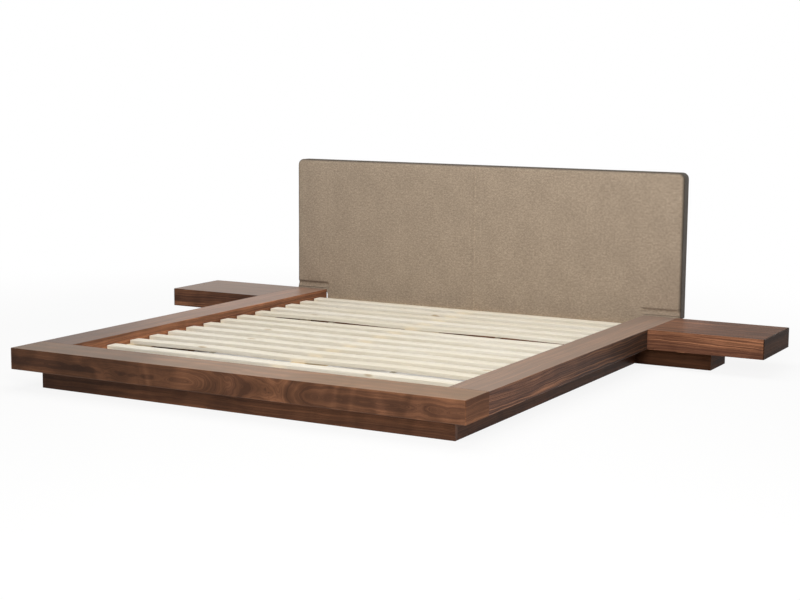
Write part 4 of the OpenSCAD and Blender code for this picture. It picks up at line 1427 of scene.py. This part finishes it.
def add_dust_cloth(own):
    """Spun-bonded polypropylene stapled over the back. It sags a little into the frame's openings."""
    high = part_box("headboard_dust_cloth")[1]
    corners = headboard_corners(own, 0.0)
    gap = corners[3][0] - high.x
    outline, inward, _ = rounded_outline(corners, own.cell * 1.4)
    rim = outline + inward * gap
    made, triangles, _ = filled(rim, own.cell * 1.4)
    x, z = made[:, 0], made[:, 1]
    off = frame_distance(x, z)
    edge = np.min([np.hypot(x - a[0], z - a[1]) for a in rim[::3]], axis=0)
    sag = own.sag * smooth(off, 0.0, 0.22)
    pucker = own.pucker * np.abs(waves(x * 40, z * 40, 7.7)) * np.exp(-edge / 0.03)
    creases = own.crease * np.abs(waves(x * 2.5 + z * 5, z * 9 - x * 4, 1.7)) * smooth(off, 0.0, 0.1)
    outer = high.y - own.pucker - sag + (pucker + creases)
    mesh = bpy.data.meshes.new("headboard_dust_cover")
    mesh.from_pydata(list(zip(x, outer, z)), [], [tuple(reversed(t)) for t in triangles])
    shade_smooth(mesh)
    mesh.materials.append(spun_cloth("spun_bonded_cloth", linear("#1d1d1e"), 0.003))
    cloth = new_piece("headboard_dust_cover", mesh, ["headboard_dust_cloth"])
    thicken(cloth, own.dust_cloth)
    spots, along = walked(rim + inward * own.staple_inset, settings().hardware.staple_step,
                          high.y - own.staple_sink)
    staples = stapled("headboard_staples", spots, along, (0, 1, 0), "galvanised_wire", 0.25, 5)


def add_hem_stitches(own):
    """Stitches along the lower edges of the wings, where the cover is turned in."""
    corners = headboard_corners(own, own.swell)
    notch_x, wing_z, half = corners[1][0], corners[1][1], corners[2][0]
    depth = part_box("headboard_cover")[0].y + own.border_depth + own.crown + own.seam_depth + 0.0008
    line = wing_z + own.hem
    spots, along = [], []
    for side in (-1, 1):
        path = np.array([(side * (notch_x + 0.006), line), (side * (half - 0.016), line)])
        found, tangents = walked(path, own.stitch + own.stitch_gap, depth, closed=False)
        spots += found
        along += tangents
    yarn = spun_cloth("polyester_thread", tuple(own.thread), 0.0008)
    mesh = laid_along("headboard_hem_stitches", spots, along, (0, -1, 0), {
        "Length": own.stitch, "Thickness": own.thread_width, "Bend": own.thread_width * 0.8, "Wobble": 0.2,
        "Seed": 9, "Material": yarn})
    new_piece("headboard_hem_stitches", mesh)


def walked(path, step, depth, closed=True):
    """Points at equal steps along a path in an upright plane at a depth, with its direction at each."""
    ends = np.roll(path, -1, axis=0) if closed else path[1:]
    starts = path if closed else path[:-1]
    spans = np.hypot(*(ends - starts).T)
    total = spans.sum()
    count = max(2, round(total / step))
    reached = np.concatenate([[0], np.cumsum(spans)])
    spots, along = [], []
    for k in range(count):
        at = total * (k + 0.5) / count
        i = min(int(np.searchsorted(reached, at) - 1), len(spans) - 1)
        share = (at - reached[i]) / spans[i]
        x, z = starts[i] + (ends[i] - starts[i]) * share
        spots.append((x, depth, z))
        x, z = (ends[i] - starts[i]) / spans[i]
        along.append((x, 0.0, z))
    return spots, along


# Panel


class BED_FINISH_PT_panel(Panel):
    """The bed's pieces, in the order that they are made"""

    bl_label = "Platform Bed"
    bl_idname = "BED_FINISH_PT_panel"
    bl_space_type = "VIEW_3D"
    bl_region_type = "UI"
    bl_category = "Bed"

    def draw(self, context):
        for operator in OPERATORS:
            self.layout.operator(operator.bl_idname)


OPERATORS = (BED_FINISH_OT_stage, BED_FINISH_OT_cases, BED_FINISH_OT_plinth, BED_FINISH_OT_slats,
             BED_FINISH_OT_hidden_frame, BED_FINISH_OT_hardware, BED_FINISH_OT_headboard)
CLASSES = (VeneerSettings, WhitewoodSettings, UpholsterySettings, HardwareSettings, StageSettings,
           BedSettings) + OPERATORS + (BED_FINISH_PT_panel,)


def register():
    """Registers every class and hangs the settings on the scene."""
    for item in CLASSES:
        bpy.utils.register_class(item)
    bpy.types.Scene.bed_finish = PointerProperty(type=BedSettings)


def unregister():
    """Takes the settings and classes away again."""
    del bpy.types.Scene.bed_finish
    for item in reversed(CLASSES):
        bpy.utils.unregister_class(item)


def main():
    """Registers the add-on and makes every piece."""
    register()
    bpy.ops.bed_finish.stage()
    bpy.ops.bed_finish.cases()
    bpy.ops.bed_finish.plinth()
    bpy.ops.bed_finish.slats()
    bpy.ops.bed_finish.hidden_frame()
    bpy.ops.bed_finish.hardware()
    bpy.ops.bed_finish.headboard()


if __name__ == "__main__":
    main()
